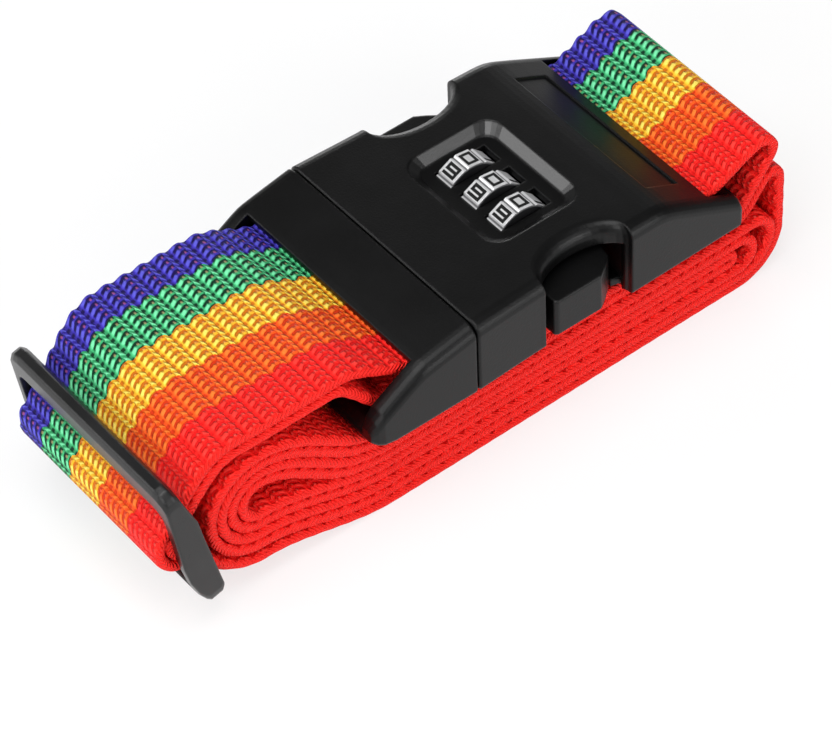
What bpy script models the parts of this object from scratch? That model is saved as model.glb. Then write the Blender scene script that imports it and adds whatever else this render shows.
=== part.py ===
"""Luggage strap: rainbow webbing wound flat, a combination lock buckle and a three-bar slider.

Lengths are in millimetres and are turned into metres when a mesh is made.
The x axis runs along the strap from the slider to the lock, y runs across the webbing
to its blue edge, z is up. Drawing x is counted from the seam between plug and lock.
"""

import math

import bmesh
import bpy
import numpy as np

MM = 0.001

# Webbing
WEB_WIDTH = 50.0
WEB_THICK = 2.0
WEB_EDGE = 0.4
STACK_PITCH = 2.6
LAYERS_LOW = 5
LAYERS_HIGH = 4
LOW = (4, 3, 2, 1, 0)
HIGH = (5, 6, 7, 8)
CUT_GAP = 0.3
STACK_CLEAR = 0.9
STACK_HIGH = WEB_THICK + (LAYERS_LOW + LAYERS_HIGH - 1) * STACK_PITCH
BUCKLE_LOW = STACK_HIGH + STACK_CLEAR

# Wound coil, left end
EYE_X = -49.0
EYE_Z = BUCKLE_LOW - 0.8
EYE_RADIUS = 4.4
RAMP_START_X = -18.0
FLOOR_RISE = 6.0
TWIST_X = (-50.0, -66.0)
LIFT_START_X = -27.0

# Wound coil, right end
RIGHT_END = 84.4
BIG_TURN_RADIUS = 11.0
BULGE_RADIUS = 2.4
BULGE_Z = BUCKLE_LOW + 1.5
INNER_TURN_X = 72.0
FOLD_X = 69.5

# Loop of webbing behind the lock
LOOP_RADIUS = 3.3
LOOP_X = 77.8
LOOP_Z = BUCKLE_LOW + 11.35
LOOP_CUT_X = 64.0
RETURN_RADIUS = 4.0
RETURN_ANGLE = 38.0

# Buckle shells
BUCKLE_HIGH = BUCKLE_LOW + 17.8
BUCKLE_HALF = WEB_WIDTH / 2 + 5.0
LOCK_END = 70.0
SEAM_GAP = 0.3
EDGE_SIDE = 3.0
EDGE_DOWN = 2.6
EDGE_LOW = 0.8
WAIST_DROP = 0.7
REAR_DROP = 1.4
REAR_SLOPE = 0.52
REAR_BREAK_X = 48.8
NOTCH_X = 28.8
NOTCH_HALF = 11.2
NOTCH_DEEP = 6.6
NOTCH_POWER = 2.0
WALL = 1.8
ROOF_LOW = BUCKLE_LOW + 13.7
CLEAR = 0.3

# Base plate of the lock
BASE_THICK = 1.8
BASE_INSET = 1.3
BASE_END = 61.4
BASE_WAIST_INSET = 14.2

# Webbing slot of the lock
SLOT_START = 62.0
SLOT_END = 66.4
SLOT_HALF = WEB_WIDTH / 2 + 0.9
BAR_HIGH = BUCKLE_LOW + 6.6
ANCHOR_X = 56.5
ANCHOR_Z = BUCKLE_LOW + 6.1
ANCHOR_RADIUS = 1.2
END_ROOM_START = 51.5
END_ROOM_HIGH = BUCKLE_LOW + 10.0

# Dials
DIAL_X = 27.5
DIAL_Z = BUCKLE_LOW + 10.5
DIAL_APOTHEM = 7.1
DIAL_PHASE = 8.0
DIAL_WIDTH = 4.6
DIAL_PITCH = 7.9
DIAL_BORE = 4.2
DIAL_FACET_HALF = 13.2
DIAL_GROOVE = 0.45
DIAL_PLACES = 10
SLEEVE_WIDTH = DIAL_WIDTH - 0.2
AXLE_RADIUS = 1.5
AXLE_HALF = 15.6
CARRIER_X = (15.4, 32.5)
CARRIER_HALF = 14.8
CARRIER_THICK = 1.1
CARRIER_LOW = BUCKLE_LOW + 6.3
LEAF_X = 17.5
LEAF_THICK = 0.4
LEAF_LOW = BUCKLE_LOW + 3.3
LEAF_HALF = 12.0
WINDOW_FLOOR = BUCKLE_LOW + 15.5
WINDOW_X = 28.0
WINDOW_HALF_X = 11.8
WINDOW_HALF_Y = 15.2
WINDOW_CORNER = 4.5
WINDOW_BEVEL = 2.4
DIAL_SLOT_END = 7.0
DIAL_SLOT_HALF = DIAL_WIDTH / 2 + 0.4

# Plug half
PLUG_END = -25.7
PLUG_CAP_EDGE = -13.2
CHANNEL_HALF = WEB_WIDTH / 2 + 1.0
CAP_UNDER = BUCKLE_LOW + 13.4
PLUG_BAR_X = -7.0
PLUG_BAR_Z = BUCKLE_LOW + 8.5
PLUG_BAR_RADIUS = 2.2
PLUG_FLOOR = BUCKLE_LOW + 2.0
PLUG_WALL_X = -2.4
TONGUE_END = 14.6
TONGUE_HALF = 12.0
TONGUE_LOW = BUCKLE_LOW + 2.7
TONGUE_HIGH = BUCKLE_LOW + 5.5

# Bolt that drops into the tongue
BOLT_X = 9.5
BOLT_RADIUS = 2.0
BOLT_LOW = BUCKLE_LOW + 3.7
BOLT_HEAD_RADIUS = 4.4
BOLT_HEAD_LOW = BUCKLE_LOW + 5.8
BOLT_HEAD_HIGH = BUCKLE_LOW + 7.0
SPRING_RADIUS = 3.0
SPRING_WIRE = 0.3
SPRING_TURNS = 4
SPRING_HIGH = BUCKLE_LOW + 12.9

# Screws and reset button
SCREW_TOP = BUCKLE_LOW + 6.3
SCREW_X = (43.2, 48.6)
SCREW_INSET = 6.8
SCREW_RADIUS = 0.85
SCREW_HEAD_RADIUS = 1.6
RESET_X = 46.0
RESET_RADIUS = 1.45
RESET_COLLAR = 2.5

# Release arms
ARM_ROOT_X = 0.5
ARM_HINGE_X = 1.6
ARM_INSET = 10.8
ARM_THICK = 3.0
ARM_LOW = BUCKLE_LOW + 2.9
ARM_HIGH = BUCKLE_LOW + 8.3
BUTTON_START = 19.7
BUTTON_END = 37.0
BUTTON_INSET = 0.3
BUTTON_LOW = BUCKLE_LOW + 2.0
BUTTON_HIGH = BUCKLE_LOW + 11.5
BUTTON_ROOM = 1.6

# Three-bar slider
SLIDER_BACK = 4.7
SLIDER_Z = BUCKLE_LOW - 1.5
SLIDER_LEAN = 14.9
SLIDER_YAW = 0.05
SLIDER_ROLL = -0.08
SLIDER_BAR_TALL = 5.6
SLIDER_SLOT_HALF = WEB_WIDTH / 2 + 0.6
SLIDER_WALL = 2.2
SLIDER_CORNER = 4.0
SLIDER_SLOT_CORNER = 3.0
SLIDER_ROOM = 6.3
SLIDER_BAR_RADIUS = 2.1
SLIDER_EXIT = 46.0
END_WRAP = 165.0

# Top run between slider and plug
RUN_Z = BUCKLE_LOW + 18.6
RUN_LEFT = -52.5
RUN_DROP = (-29.0, -12.0)
UNDER_DROP = (-31.0, -17.0)

SLIDER_HALF = SLIDER_SLOT_HALF + SLIDER_WALL
SLIDER_X = EYE_X - EYE_RADIUS - (LAYERS_HIGH - 1) * STACK_PITCH - SLIDER_BACK
WAIST_HALF = BUCKLE_HALF - WAIST_DROP
REAR_HALF = BUCKLE_HALF - REAR_DROP
BASE_WAIST_HALF = BUCKLE_HALF - BASE_WAIST_INSET
ARM_IN = BUCKLE_HALF - ARM_INSET
ARM_OUT = ARM_IN + ARM_THICK
BUTTON_OUT = BUCKLE_HALF - BUTTON_INSET
END_RADIUS = SLIDER_BAR_RADIUS + 0.4 + WEB_THICK / 2
STRAP_RADIUS = END_RADIUS + STACK_PITCH
SLIDER_OPENING = 2 * (STRAP_RADIUS + WEB_THICK / 2 + SLIDER_ROOM)
SLIDER_HEIGHT = SLIDER_OPENING + 2 * SLIDER_BAR_TALL
LEFT_END = SLIDER_X - STRAP_RADIUS - WEB_THICK / 2 - SLIDER_YAW * WEB_WIDTH / 2
X_MID = (LEFT_END + RIGHT_END) / 2


def clear_scene():
    """Remove every object of the start file."""
    for item in list(bpy.data.objects):
        bpy.data.objects.remove(item, do_unlink=True)


def material(name, colour, roughness, metallic=0.0):
    """Make a plain surface finish."""
    finish = bpy.data.materials.new(name)
    finish.use_nodes = True
    shader = finish.node_tree.nodes["Principled BSDF"]
    shader.inputs["Base Color"].default_value = (*colour, 1.0)
    shader.inputs["Roughness"].default_value = roughness
    shader.inputs["Metallic"].default_value = metallic
    return finish


def add_object(name, points, faces, finish, origin=(0.0, 0.0, 0.0), smooth=None):
    """Make a mesh object from drawing points; origin is its own zero in drawing points."""
    zero = np.array([origin[0] - X_MID, origin[1], origin[2]]) * MM
    shifted = (np.asarray(points, float) - np.array([X_MID, 0.0, 0.0])) * MM - zero
    mesh = bpy.data.meshes.new(name)
    mesh.from_pydata([tuple(p) for p in shifted], [], faces)
    mesh.update()
    work = bmesh.new()
    work.from_mesh(mesh)
    bmesh.ops.recalc_face_normals(work, faces=work.faces)
    work.to_mesh(mesh)
    work.free()
    item = bpy.data.objects.new(name, mesh)
    item.location = tuple(zero)
    bpy.context.scene.collection.objects.link(item)
    if finish is not None:
        mesh.materials.append(finish)
    if smooth is not None:
        mesh.polygons.foreach_set("use_smooth", [True] * len(mesh.polygons))
        mesh.set_sharp_from_angle(angle=math.radians(smooth))
    return item


def loft(name, rings, finish, origin=(0.0, 0.0, 0.0), smooth=35.0):
    """Join equal closed rings of points into one closed skin with flat ends."""
    count = len(rings[0])
    points = [p for ring in rings for p in ring]
    faces = []
    for r in range(len(rings) - 1):
        for k in range(count):
            a = r * count + k
            b = r * count + (k + 1) % count
            faces.append((a, b, b + count, a + count))
    faces.append(tuple(range(count)))
    last = (len(rings) - 1) * count
    faces.append(tuple(range(last, last + count)))
    return add_object(name, points, faces, finish, origin, smooth)


def prism_y(name, outline, low, high, finish, origin=(0.0, 0.0, 0.0), smooth=30.0):
    """Carry an outline of (x, z) along y."""
    rings = [[(x, y, z) for x, z in outline] for y in (low, high)]
    return loft(name, rings, finish, origin, smooth)


def prism_z(name, outline, low, high, finish, origin=(0.0, 0.0, 0.0), smooth=30.0):
    """Carry an outline of (x, y) along z."""
    rings = [[(x, y, z) for x, y in outline] for z in (low, high)]
    return loft(name, rings, finish, origin, smooth)


def block(name, x_span, y_span, z_span):
    """A plain box used to cut or to add."""
    outline = [(x_span[0], y_span[0]), (x_span[1], y_span[0])]
    outline += [(x_span[1], y_span[1]), (x_span[0], y_span[1])]
    return prism_z(name, outline, z_span[0], z_span[1], None)


def circle(centre, radius, count, phase=0.0):
    """Points round a circle."""
    turn = [phase + 2 * math.pi * k / count for k in range(count)]
    return [(centre[0] + radius * math.cos(a), centre[1] + radius * math.sin(a)) for a in turn]


def rod_y(name, centre, radius, half, finish, count=24):
    """A round rod along y."""
    return prism_y(name, circle(centre, radius, count), -half, half, finish)


def lathe_z(name, centre, profile, finish, count=20):
    """Turn a profile of (radius, z) about an upright axis; its ends are flat."""
    rings = []
    for radius, z in profile:
        rings.append([(x, y, z) for x, y in circle(centre, radius, count)])
    return loft(name, rings, finish, (centre[0], centre[1], profile[0][1]))


def tube_y(name, outer, inner, low, high, finish, origin):
    """A ring along y between an outer and an inner outline with equal counts."""
    count = len(outer)
    points = []
    for y in (low, high):
        points += [(x, y, z) for x, z in outer]
        points += [(x, y, z) for x, z in inner]
    faces = []
    for k in range(count):
        n = (k + 1) % count
        faces.append((k, n, 2 * count + n, 2 * count + k))
        faces.append((count + k, 3 * count + k, 3 * count + n, count + n))
        faces.append((k, count + k, count + n, n))
        faces.append((2 * count + k, 2 * count + n, 3 * count + n, 3 * count + k))
    return add_object(name, points, faces, finish, origin, 30.0)


def combine(item, tool, operation):
    """Cut, add or keep the common part; the tool stays as a hidden helper."""
    step = item.modifiers.new(operation.lower(), "BOOLEAN")
    step.operation = operation
    step.solver = "EXACT"
    step.object = tool
    tool.hide_render = True
    tool.display_type = "WIRE"


def soften(item, width, segments=2, angle=40.0):
    """Round the sharp edges of a piece."""
    step = item.modifiers.new("soften", "BEVEL")
    step.width = width * MM
    step.segments = segments
    step.limit_method = "ANGLE"
    step.angle_limit = math.radians(angle)


def smooth_step(t):
    """Ease from 0 to 1."""
    t = np.clip(t, 0.0, 1.0)
    return t * t * (3.0 - 2.0 * t)


# Shape of the buckle


def ramp(distance, blend=2.0):
    """Zero before a break, then rising with slope one."""
    return (distance + math.hypot(distance, blend)) / 2


def lock_half(x):
    """Half width of the lock at x, with the finger notch."""
    if x < NOTCH_X:
        side = BUCKLE_HALF + (WAIST_HALF - BUCKLE_HALF) * min(max(x, 0.0) / 16.0, 1.0)
    else:
        side = WAIST_HALF + (REAR_HALF - WAIST_HALF) * (x - NOTCH_X) / (LOCK_END - NOTCH_X)
    reach = 1.0 - min(abs(x - NOTCH_X) / NOTCH_HALF, 1.0) ** NOTCH_POWER
    return side - NOTCH_DEEP * reach ** (1.0 / NOTCH_POWER)


def lock_high(x):
    """Top of the lock at x."""
    return BUCKLE_HIGH - REAR_SLOPE * ramp(x - REAR_BREAK_X)


def plug_high(x):
    """Top of the plug at x."""
    return BUCKLE_HIGH - 0.19 * abs(x) - 0.43 * ramp(PLUG_CAP_EDGE - x, 1.2)


def section(x, half, low, high, side=EDGE_SIDE, down=EDGE_DOWN, under=EDGE_LOW):
    """Rounded cross section of a shell at x, as points (x, y, z)."""
    down = min(down, 0.45 * (high - low))
    right = [(half - under, low), (half - 0.3 * under, low + 0.3 * under), (half, low + under)]
    for k in range(6):
        a = math.radians(90.0 * k / 5)
        right.append((half - side + side * math.cos(a), high - down + down * math.sin(a)))
    ring = [(x, y, z) for y, z in right]
    ring += [(x, -y, z) for y, z in reversed(right)]
    return ring


def lock_stations():
    """Where the lock shell is cut into sections."""
    fore = [SEAM_GAP + d for d in (0.0, 0.4, 4.0, 8.0, 12.0, 16.0)]
    notch = [NOTCH_X - NOTCH_HALF * math.cos(math.pi * k / 18) for k in range(19)]
    rear = [REAR_BREAK_X + d for d in (-7.0, -3.0, -1.5, 0.0, 1.5, 3.0, 7.0, 12.0, 17.0)]
    tail = [LOCK_END - d for d in (1.2, 0.4, 0.0)]
    return fore + notch + rear + tail


def build_lock_cover(finish):
    """Upper shell of the lock: walls, roof, window, notches and webbing slot."""
    rings = []
    for x in lock_stations():
        inset = 0.0
        if x <= SEAM_GAP + 0.01:
            inset = 0.35
        if x > LOCK_END - 0.6:
            inset = 0.3 + 0.8 * (x - LOCK_END + 0.6) / 0.6
        rings.append(section(x, lock_half(x) - inset, BUCKLE_LOW + inset * 0.5, lock_high(x) - inset))
    cover = loft("lock_cover", rings, finish)

    inside = []
    for x in [-1.0] + [s for s in lock_stations() if 0.5 < s < 39.0] + [40.0]:
        half = lock_half(max(x, 0.0)) - WALL
        inside.append(section(x, half, BUCKLE_LOW - 1.0, ROOF_LOW, 1.0, 1.0, 0.3))
    combine(cover, loft("cut_main_room", inside, None), "DIFFERENCE")

    seat = []
    for x, half in base_outline(CLEAR):
        seat.append(section(x, half, BUCKLE_LOW - 2.0, BUCKLE_LOW + BASE_THICK + CLEAR, 0.4, 0.4, 0.2))
    combine(cover, loft("cut_base_seat", seat, None), "DIFFERENCE")

    slot = (-SLOT_HALF, SLOT_HALF)
    gate = (BUTTON_START - CLEAR, BUTTON_END + 2.5)
    tall = (BUCKLE_LOW - 2.0, BUTTON_HIGH + BUTTON_ROOM)
    rooms = (
        ("cut_slide_room", (39.0, END_ROOM_START - 1.5), (-18.0, 18.0), (BUCKLE_LOW + 1.0, ROOF_LOW - 1.0)),
        ("cut_end_room", (END_ROOM_START, SLOT_END), slot, (BUCKLE_LOW + 1.0, END_ROOM_HIGH)),
        ("cut_slot", (SLOT_START, LOCK_END + 3.0), slot, (BAR_HIGH, BUCKLE_HIGH + 5.0)),
        ("cut_button_back", gate, (ARM_IN - 3.2, BUCKLE_HALF + 6.0), tall),
        ("cut_button_front", gate, (-BUCKLE_HALF - 6.0, 3.2 - ARM_IN), tall),
    )
    for name, x_span, y_span, z_span in rooms:
        combine(cover, block(name, x_span, y_span, z_span), "DIFFERENCE")

    levels = ((WINDOW_FLOOR, -WINDOW_BEVEL), (BUCKLE_HIGH + 0.02, 0.0), (BUCKLE_HIGH + 3.0, 0.9))
    rings = []
    for z, grow in levels:
        half_x, half_y = WINDOW_HALF_X + grow, WINDOW_HALF_Y + grow
        outline = rounded(WINDOW_X, 0.0, half_x, half_y, WINDOW_CORNER + grow * 0.6)
        rings.append([(x, y, z) for x, y in outline])
    combine(cover, loft("cut_window", rings, None), "DIFFERENCE")
    for k, y in enumerate(dial_rows()):
        low, high = y - DIAL_SLOT_HALF, y + DIAL_SLOT_HALF
        room = circle((DIAL_X, DIAL_Z), dial_corner() + CLEAR + 0.05, 40)
        combine(cover, prism_y(f"cut_dial_{k + 1}", room, low, high, None), "DIFFERENCE")
        x_span = (DIAL_X + 1.0, DIAL_X + DIAL_SLOT_END)
        z_span = (ROOF_LOW - 2.0, WINDOW_FLOOR + 1.0)
        combine(cover, block(f"cut_dial_end_{k + 1}", x_span, (low, high), z_span), "DIFFERENCE")

    panel = []
    for x in (50.6, 52.0, 54.0, 56.0, 58.8):
        panel.append(section(x, 20.5, lock_high(x) - 0.45, lock_high(x) + 3.0, 0.5, 0.5, 0.1))
    combine(cover, loft("cut_rear_panel", panel, None), "DIFFERENCE")
    for k, (x, y) in enumerate(screw_places()):
        hole = SCREW_RADIUS + CLEAR
        profile = ((hole, BUCKLE_LOW + 1.0), (hole, SCREW_TOP + 0.6))
        combine(cover, lathe_z(f"cut_cover_hole_{k + 1}", (x, y), profile, None, 12), "DIFFERENCE")
    return cover


def rounded(x, y, half_x, half_y, corner, steps=5):
    """Outline of a rectangle with rounded corners."""
    outline = []
    for sx, sy, start in ((1, 1, 0), (-1, 1, 90), (-1, -1, 180), (1, -1, 270)):
        for k in range(steps + 1):
            a = math.radians(start + 90.0 * k / steps)
            px = x + sx * (half_x - corner) + corner * math.cos(a)
            py = y + sy * (half_y - corner) + corner * math.sin(a)
            outline.append((px, py))
    return outline


def dial_rows():
    """Where the three dials sit across the lock, from the blue edge to the red edge."""
    return (DIAL_PITCH, 0.0, -DIAL_PITCH)


def dial_corner():
    """Largest radius of a dial, at the ends of its facets."""
    return DIAL_APOTHEM / math.cos(math.radians(DIAL_FACET_HALF))


def screw_places():
    """Centres of the four cover screws."""
    reach = BUCKLE_HALF - SCREW_INSET
    return [(x, y) for x in SCREW_X for y in (reach, -reach)]


def base_outline(grow=0.0):
    """Sections of the base plate as (x, half width); narrow where the buttons move."""
    near, far = BUTTON_START - 0.9, BUTTON_END + 1.1
    middle = (far + BASE_END) / 2
    fore = [(SEAM_GAP + 0.9 - grow, 0.5), (near / 2, near / 2), (near + grow, near)]
    rear = [(far - grow, far + 0.4), (middle, middle), (BASE_END + grow, BASE_END)]
    pairs = [(x, lock_half(at) - BASE_INSET + grow) for x, at in fore]
    pairs += [(x, BASE_WAIST_HALF + grow) for x in (near + 0.3 + grow, far - 0.3 - grow)]
    pairs += [(x, lock_half(at) - BASE_INSET + grow) for x, at in rear]
    return pairs


def build_lock_base(finish):
    """Flat lid of the lock, let into its underside."""
    rings = []
    for x, half in base_outline():
        rings.append(section(x, half, BUCKLE_LOW, BUCKLE_LOW + BASE_THICK, 0.3, 0.3, 0.2))
    base = loft("lock_base", rings, finish)
    for k, (x, y) in enumerate(screw_places()):
        wide, narrow = SCREW_HEAD_RADIUS + CLEAR + 0.1, SCREW_RADIUS + CLEAR
        profile = ((wide, BUCKLE_LOW - 1.0), (wide, BUCKLE_LOW + 1.0))
        profile += ((narrow, BUCKLE_LOW + 1.02), (narrow, BUCKLE_LOW + BASE_THICK + 2.0))
        combine(base, lathe_z(f"cut_base_hole_{k + 1}", (x, y), profile, None, 12), "DIFFERENCE")
    bore = RESET_RADIUS + CLEAR + 0.05
    profile = ((bore, BUCKLE_LOW - 2.0), (bore, BUCKLE_LOW + BASE_THICK + 2.0))
    combine(base, lathe_z("cut_reset_hole", (RESET_X, 0.0), profile, None, 16), "DIFFERENCE")
    return base


def build_screws(finish):
    """Four countersunk cover screws."""
    for k, place in enumerate(screw_places()):
        profile = ((SCREW_HEAD_RADIUS, BUCKLE_LOW + 0.05), (SCREW_HEAD_RADIUS, BUCKLE_LOW + 0.7))
        profile += ((SCREW_RADIUS, BUCKLE_LOW + 0.75), (SCREW_RADIUS, SCREW_TOP))
        lathe_z(f"cover_screw_{k + 1}", place, profile, finish, 12)


def build_dials(ring_finish, sleeve_finish, axle_finish):
    """Three ten-sided dials, the sleeve inside each, and their common axle."""
    steps = 3 * DIAL_PLACES
    corner = dial_corner()
    spots = ((-DIAL_FACET_HALF, corner), (0.0, DIAL_APOTHEM), (DIAL_FACET_HALF, corner))
    spots += ((18.0, corner - DIAL_GROOVE),)
    outer, hole = [], []
    for k in range(DIAL_PLACES):
        for turn, radius in spots:
            a = math.radians(90.0 - DIAL_PHASE + 36.0 * k + turn)
            outer.append((DIAL_X + radius * math.cos(a), DIAL_Z + radius * math.sin(a)))
            hole.append((DIAL_X + DIAL_BORE * math.cos(a), DIAL_Z + DIAL_BORE * math.sin(a)))
    centre = (DIAL_X, DIAL_Z)
    for k, y in enumerate(dial_rows()):
        origin = (DIAL_X, y, DIAL_Z)
        low, high = y - DIAL_WIDTH / 2, y + DIAL_WIDTH / 2
        tube_y(f"dial_{k + 1}", outer, hole, low, high, ring_finish, origin)
        low, high = y - SLEEVE_WIDTH / 2, y + SLEEVE_WIDTH / 2
        shell = circle(centre, DIAL_BORE - CLEAR, steps)
        bore = circle(centre, AXLE_RADIUS + CLEAR, steps)
        tube_y(f"dial_sleeve_{k + 1}", shell, bore, low, high, sleeve_finish, origin)
    rod_y("dial_axle", centre, AXLE_RADIUS, AXLE_HALF, axle_finish, 20)


def build_dial_carrier(finish):
    """Bent bracket that carries the dial axle."""
    back, front = CARRIER_X
    reach, inner = CARRIER_HALF, CARRIER_HALF - CARRIER_THICK
    outline = [(back, -reach), (front, -reach), (front, -inner), (back + CARRIER_THICK, -inner)]
    outline += [(back + CARRIER_THICK, inner), (front, inner), (front, reach), (back, reach)]
    carrier = prism_z("dial_carrier", outline, CARRIER_LOW, ROOF_LOW - CLEAR, finish)
    hole = rod_y("cut_axle_hole", (DIAL_X, DIAL_Z), AXLE_RADIUS + CLEAR, CARRIER_HALF + 5.0, None, 20)
    combine(carrier, hole, "DIFFERENCE")


def build_bolt_spring(finish):
    """Round-wire spring between the bolt head and the roof of the lock."""
    low = BOLT_HEAD_HIGH + SPRING_WIRE + 0.1
    high = SPRING_HIGH - SPRING_WIRE
    count = 20 * SPRING_TURNS
    rings = []
    for k in range(count + 1):
        a = 2 * math.pi * SPRING_TURNS * k / count
        z = low + (high - low) * k / count
        ring = []
        for j in range(6):
            b = 2 * math.pi * j / 6
            r = SPRING_RADIUS + SPRING_WIRE * math.cos(b)
            ring.append((BOLT_X + r * math.cos(a), r * math.sin(a), z + SPRING_WIRE * math.sin(b)))
        rings.append(ring)
    print("bolt spring least gap mm", round((high - low) / SPRING_TURNS - 2 * SPRING_WIRE, 2))
    loft("bolt_spring", rings, finish)


def build_small_lock_parts(steel, black):
    """Detent leaf, bolt with its spring, reset button and webbing pin."""
    nose = DIAL_X - dial_corner() - CLEAR
    face, high = LEAF_X + LEAF_THICK, ROOF_LOW - CLEAR - 0.5
    leaf = [(LEAF_X, LEAF_LOW), (face, LEAF_LOW), (face, DIAL_Z - 1.6), (nose, DIAL_Z - 0.3)]
    leaf += [(nose, DIAL_Z + 0.3), (face, DIAL_Z + 1.6), (face, high), (LEAF_X, high)]
    prism_y("detent_leaf", leaf, -LEAF_HALF, LEAF_HALF, steel)

    profile = ((BOLT_RADIUS - 0.5, BOLT_LOW), (BOLT_RADIUS, BOLT_LOW + 0.5), (BOLT_RADIUS, BOLT_HEAD_LOW))
    profile += ((BOLT_HEAD_RADIUS, BOLT_HEAD_LOW + 0.05), (BOLT_HEAD_RADIUS, BOLT_HEAD_HIGH))
    lathe_z("lock_bolt", (BOLT_X, 0.0), profile, steel, 24)
    build_bolt_spring(steel)

    stop = BUCKLE_LOW + BASE_THICK + 0.4
    profile = ((RESET_RADIUS, BUCKLE_LOW + 0.2), (RESET_RADIUS, stop))
    profile += ((RESET_COLLAR, stop + 0.05), (RESET_COLLAR, stop + 1.1))
    lathe_z("reset_button", (RESET_X, 0.0), profile, black, 20)
    rod_y("webbing_pin", (ANCHOR_X, ANCHOR_Z), ANCHOR_RADIUS, SLOT_HALF - CLEAR, steel, 16)


def build_plug(finish):
    """Plug half: cap, cheeks, lower bar, webbing bar and tongue."""
    rings = []
    stops = [PLUG_END + d for d in (0.0, 0.4, 1.2, 2.6, 5.5)]
    stops += [PLUG_CAP_EDGE + d for d in (-3.0, -1.2, 0.0, 1.2, 4.0, 9.0)] + [-0.4, 0.0]
    for x in stops:
        end = max(0.0, 1.0 - (x - PLUG_END) / 2.6)
        inset = 0.35 if x == 0.0 else 0.0
        half = BUCKLE_HALF - 1.2 * end ** 2 - inset
        low = BUCKLE_LOW + 0.9 * smooth_step((PLUG_END + 6.2 - x) / 6.0) + 1.2 * end ** 2
        high = plug_high(x) - 2.6 * end ** 2 - inset
        rings.append(section(x, half, float(low), float(high)))
    plug = loft("plug_body", rings, finish)

    high = BUCKLE_HIGH + 5.5
    lip = ((-4.3, 0.2), (-0.9, 0.5), (0.7, 1.4), (2.7, 1.8), (4.9, 1.3), (6.4, 0.0))
    channel = [(PLUG_END + d, PLUG_FLOOR + rise) for d, rise in lip]
    channel += [(PLUG_WALL_X, PLUG_FLOOR), (PLUG_WALL_X, CAP_UNDER), (PLUG_CAP_EDGE + 0.9, CAP_UNDER)]
    channel += [(PLUG_CAP_EDGE, CAP_UNDER + 0.3), (PLUG_CAP_EDGE - 0.3, high), (PLUG_END - 4.3, high)]
    combine(plug, prism_y("cut_plug_channel", channel, -CHANNEL_HALF, CHANNEL_HALF, None), "DIFFERENCE")
    bar = rod_y("add_plug_bar", (PLUG_BAR_X, PLUG_BAR_Z), PLUG_BAR_RADIUS, CHANNEL_HALF + 1.0, None, 20)
    combine(plug, bar, "UNION")
    across = (-TONGUE_HALF, TONGUE_HALF)
    tongue = block("add_tongue", (PLUG_WALL_X + 1.0, TONGUE_END), across, (TONGUE_LOW, TONGUE_HIGH))
    combine(plug, tongue, "UNION")
    hole = ((BOLT_RADIUS + CLEAR, TONGUE_LOW - 1.0), (BOLT_RADIUS + CLEAR, TONGUE_HIGH + 1.0))
    combine(plug, lathe_z("cut_tongue_hole", (BOLT_X, 0.0), hole, None, 24), "DIFFERENCE")


def build_arm(name, sign, finish):
    """One release arm with its finger button; it swings about an upright line at its root."""
    origin = (ARM_HINGE_X, sign * (ARM_IN + ARM_OUT) / 2, BUTTON_LOW)
    inner, outer, end = BUTTON_START + 2.0, BUTTON_OUT, BUTTON_END
    root = ARM_IN + 0.2 * ARM_THICK
    shank = [(ARM_ROOT_X, root), (inner, ARM_IN), (inner, ARM_OUT), (ARM_ROOT_X, ARM_OUT)]
    outline = [(BUTTON_START, ARM_IN), (end - 2.5, ARM_IN), (end - 0.6, ARM_IN + 1.2), (end, ARM_IN + 3.0)]
    outline += [(end - 0.7, outer - 3.6), (end - 3.3, outer - 1.5), (end - 5.6, outer)]
    outline += [(BUTTON_START + 0.6, outer), (BUTTON_START, outer - 0.6)]
    button = [(x, sign * y) for x, y in outline]
    arm = prism_z(name, button, BUTTON_LOW, BUTTON_HIGH, finish, origin)
    soften(arm, 0.5)
    root = prism_z(f"add_{name}_shank", [(x, sign * y) for x, y in shank], ARM_LOW, ARM_HIGH, None, origin)
    combine(arm, root, "UNION")


# Three-bar slider


def lean(along, across, y):
    """Slider coordinates, along its height and through its thickness, to drawing points."""
    a = math.radians(SLIDER_LEAN)
    x = SLIDER_X - math.sin(a) * along + math.cos(a) * across + SLIDER_YAW * y
    z = SLIDER_Z + math.cos(a) * along + math.sin(a) * across + SLIDER_ROLL * y
    return (x, y, z)


def slider_ring(y, share):
    """Leaf-shaped section of the slider frame at y, bowed to the left; share shortens it."""
    left = ((1.0, -1.1), (0.93, -1.9), (0.6, -2.5), (0.2, -3.2), (-0.2, -3.9), (-0.5, -3.9), (-0.8, -3.1))
    right = ((-0.93, -2.3), (-1.0, -1.5), (-1.0, 1.3), (-0.93, 2.1), (-0.5, 2.3), (0.1, 2.6), (0.42, 2.9))
    top = ((0.7, 2.2), (0.93, 1.7), (1.0, 0.9))
    return [lean(a * share * SLIDER_HEIGHT / 2, c, y) for a, c in left + right + top]


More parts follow.
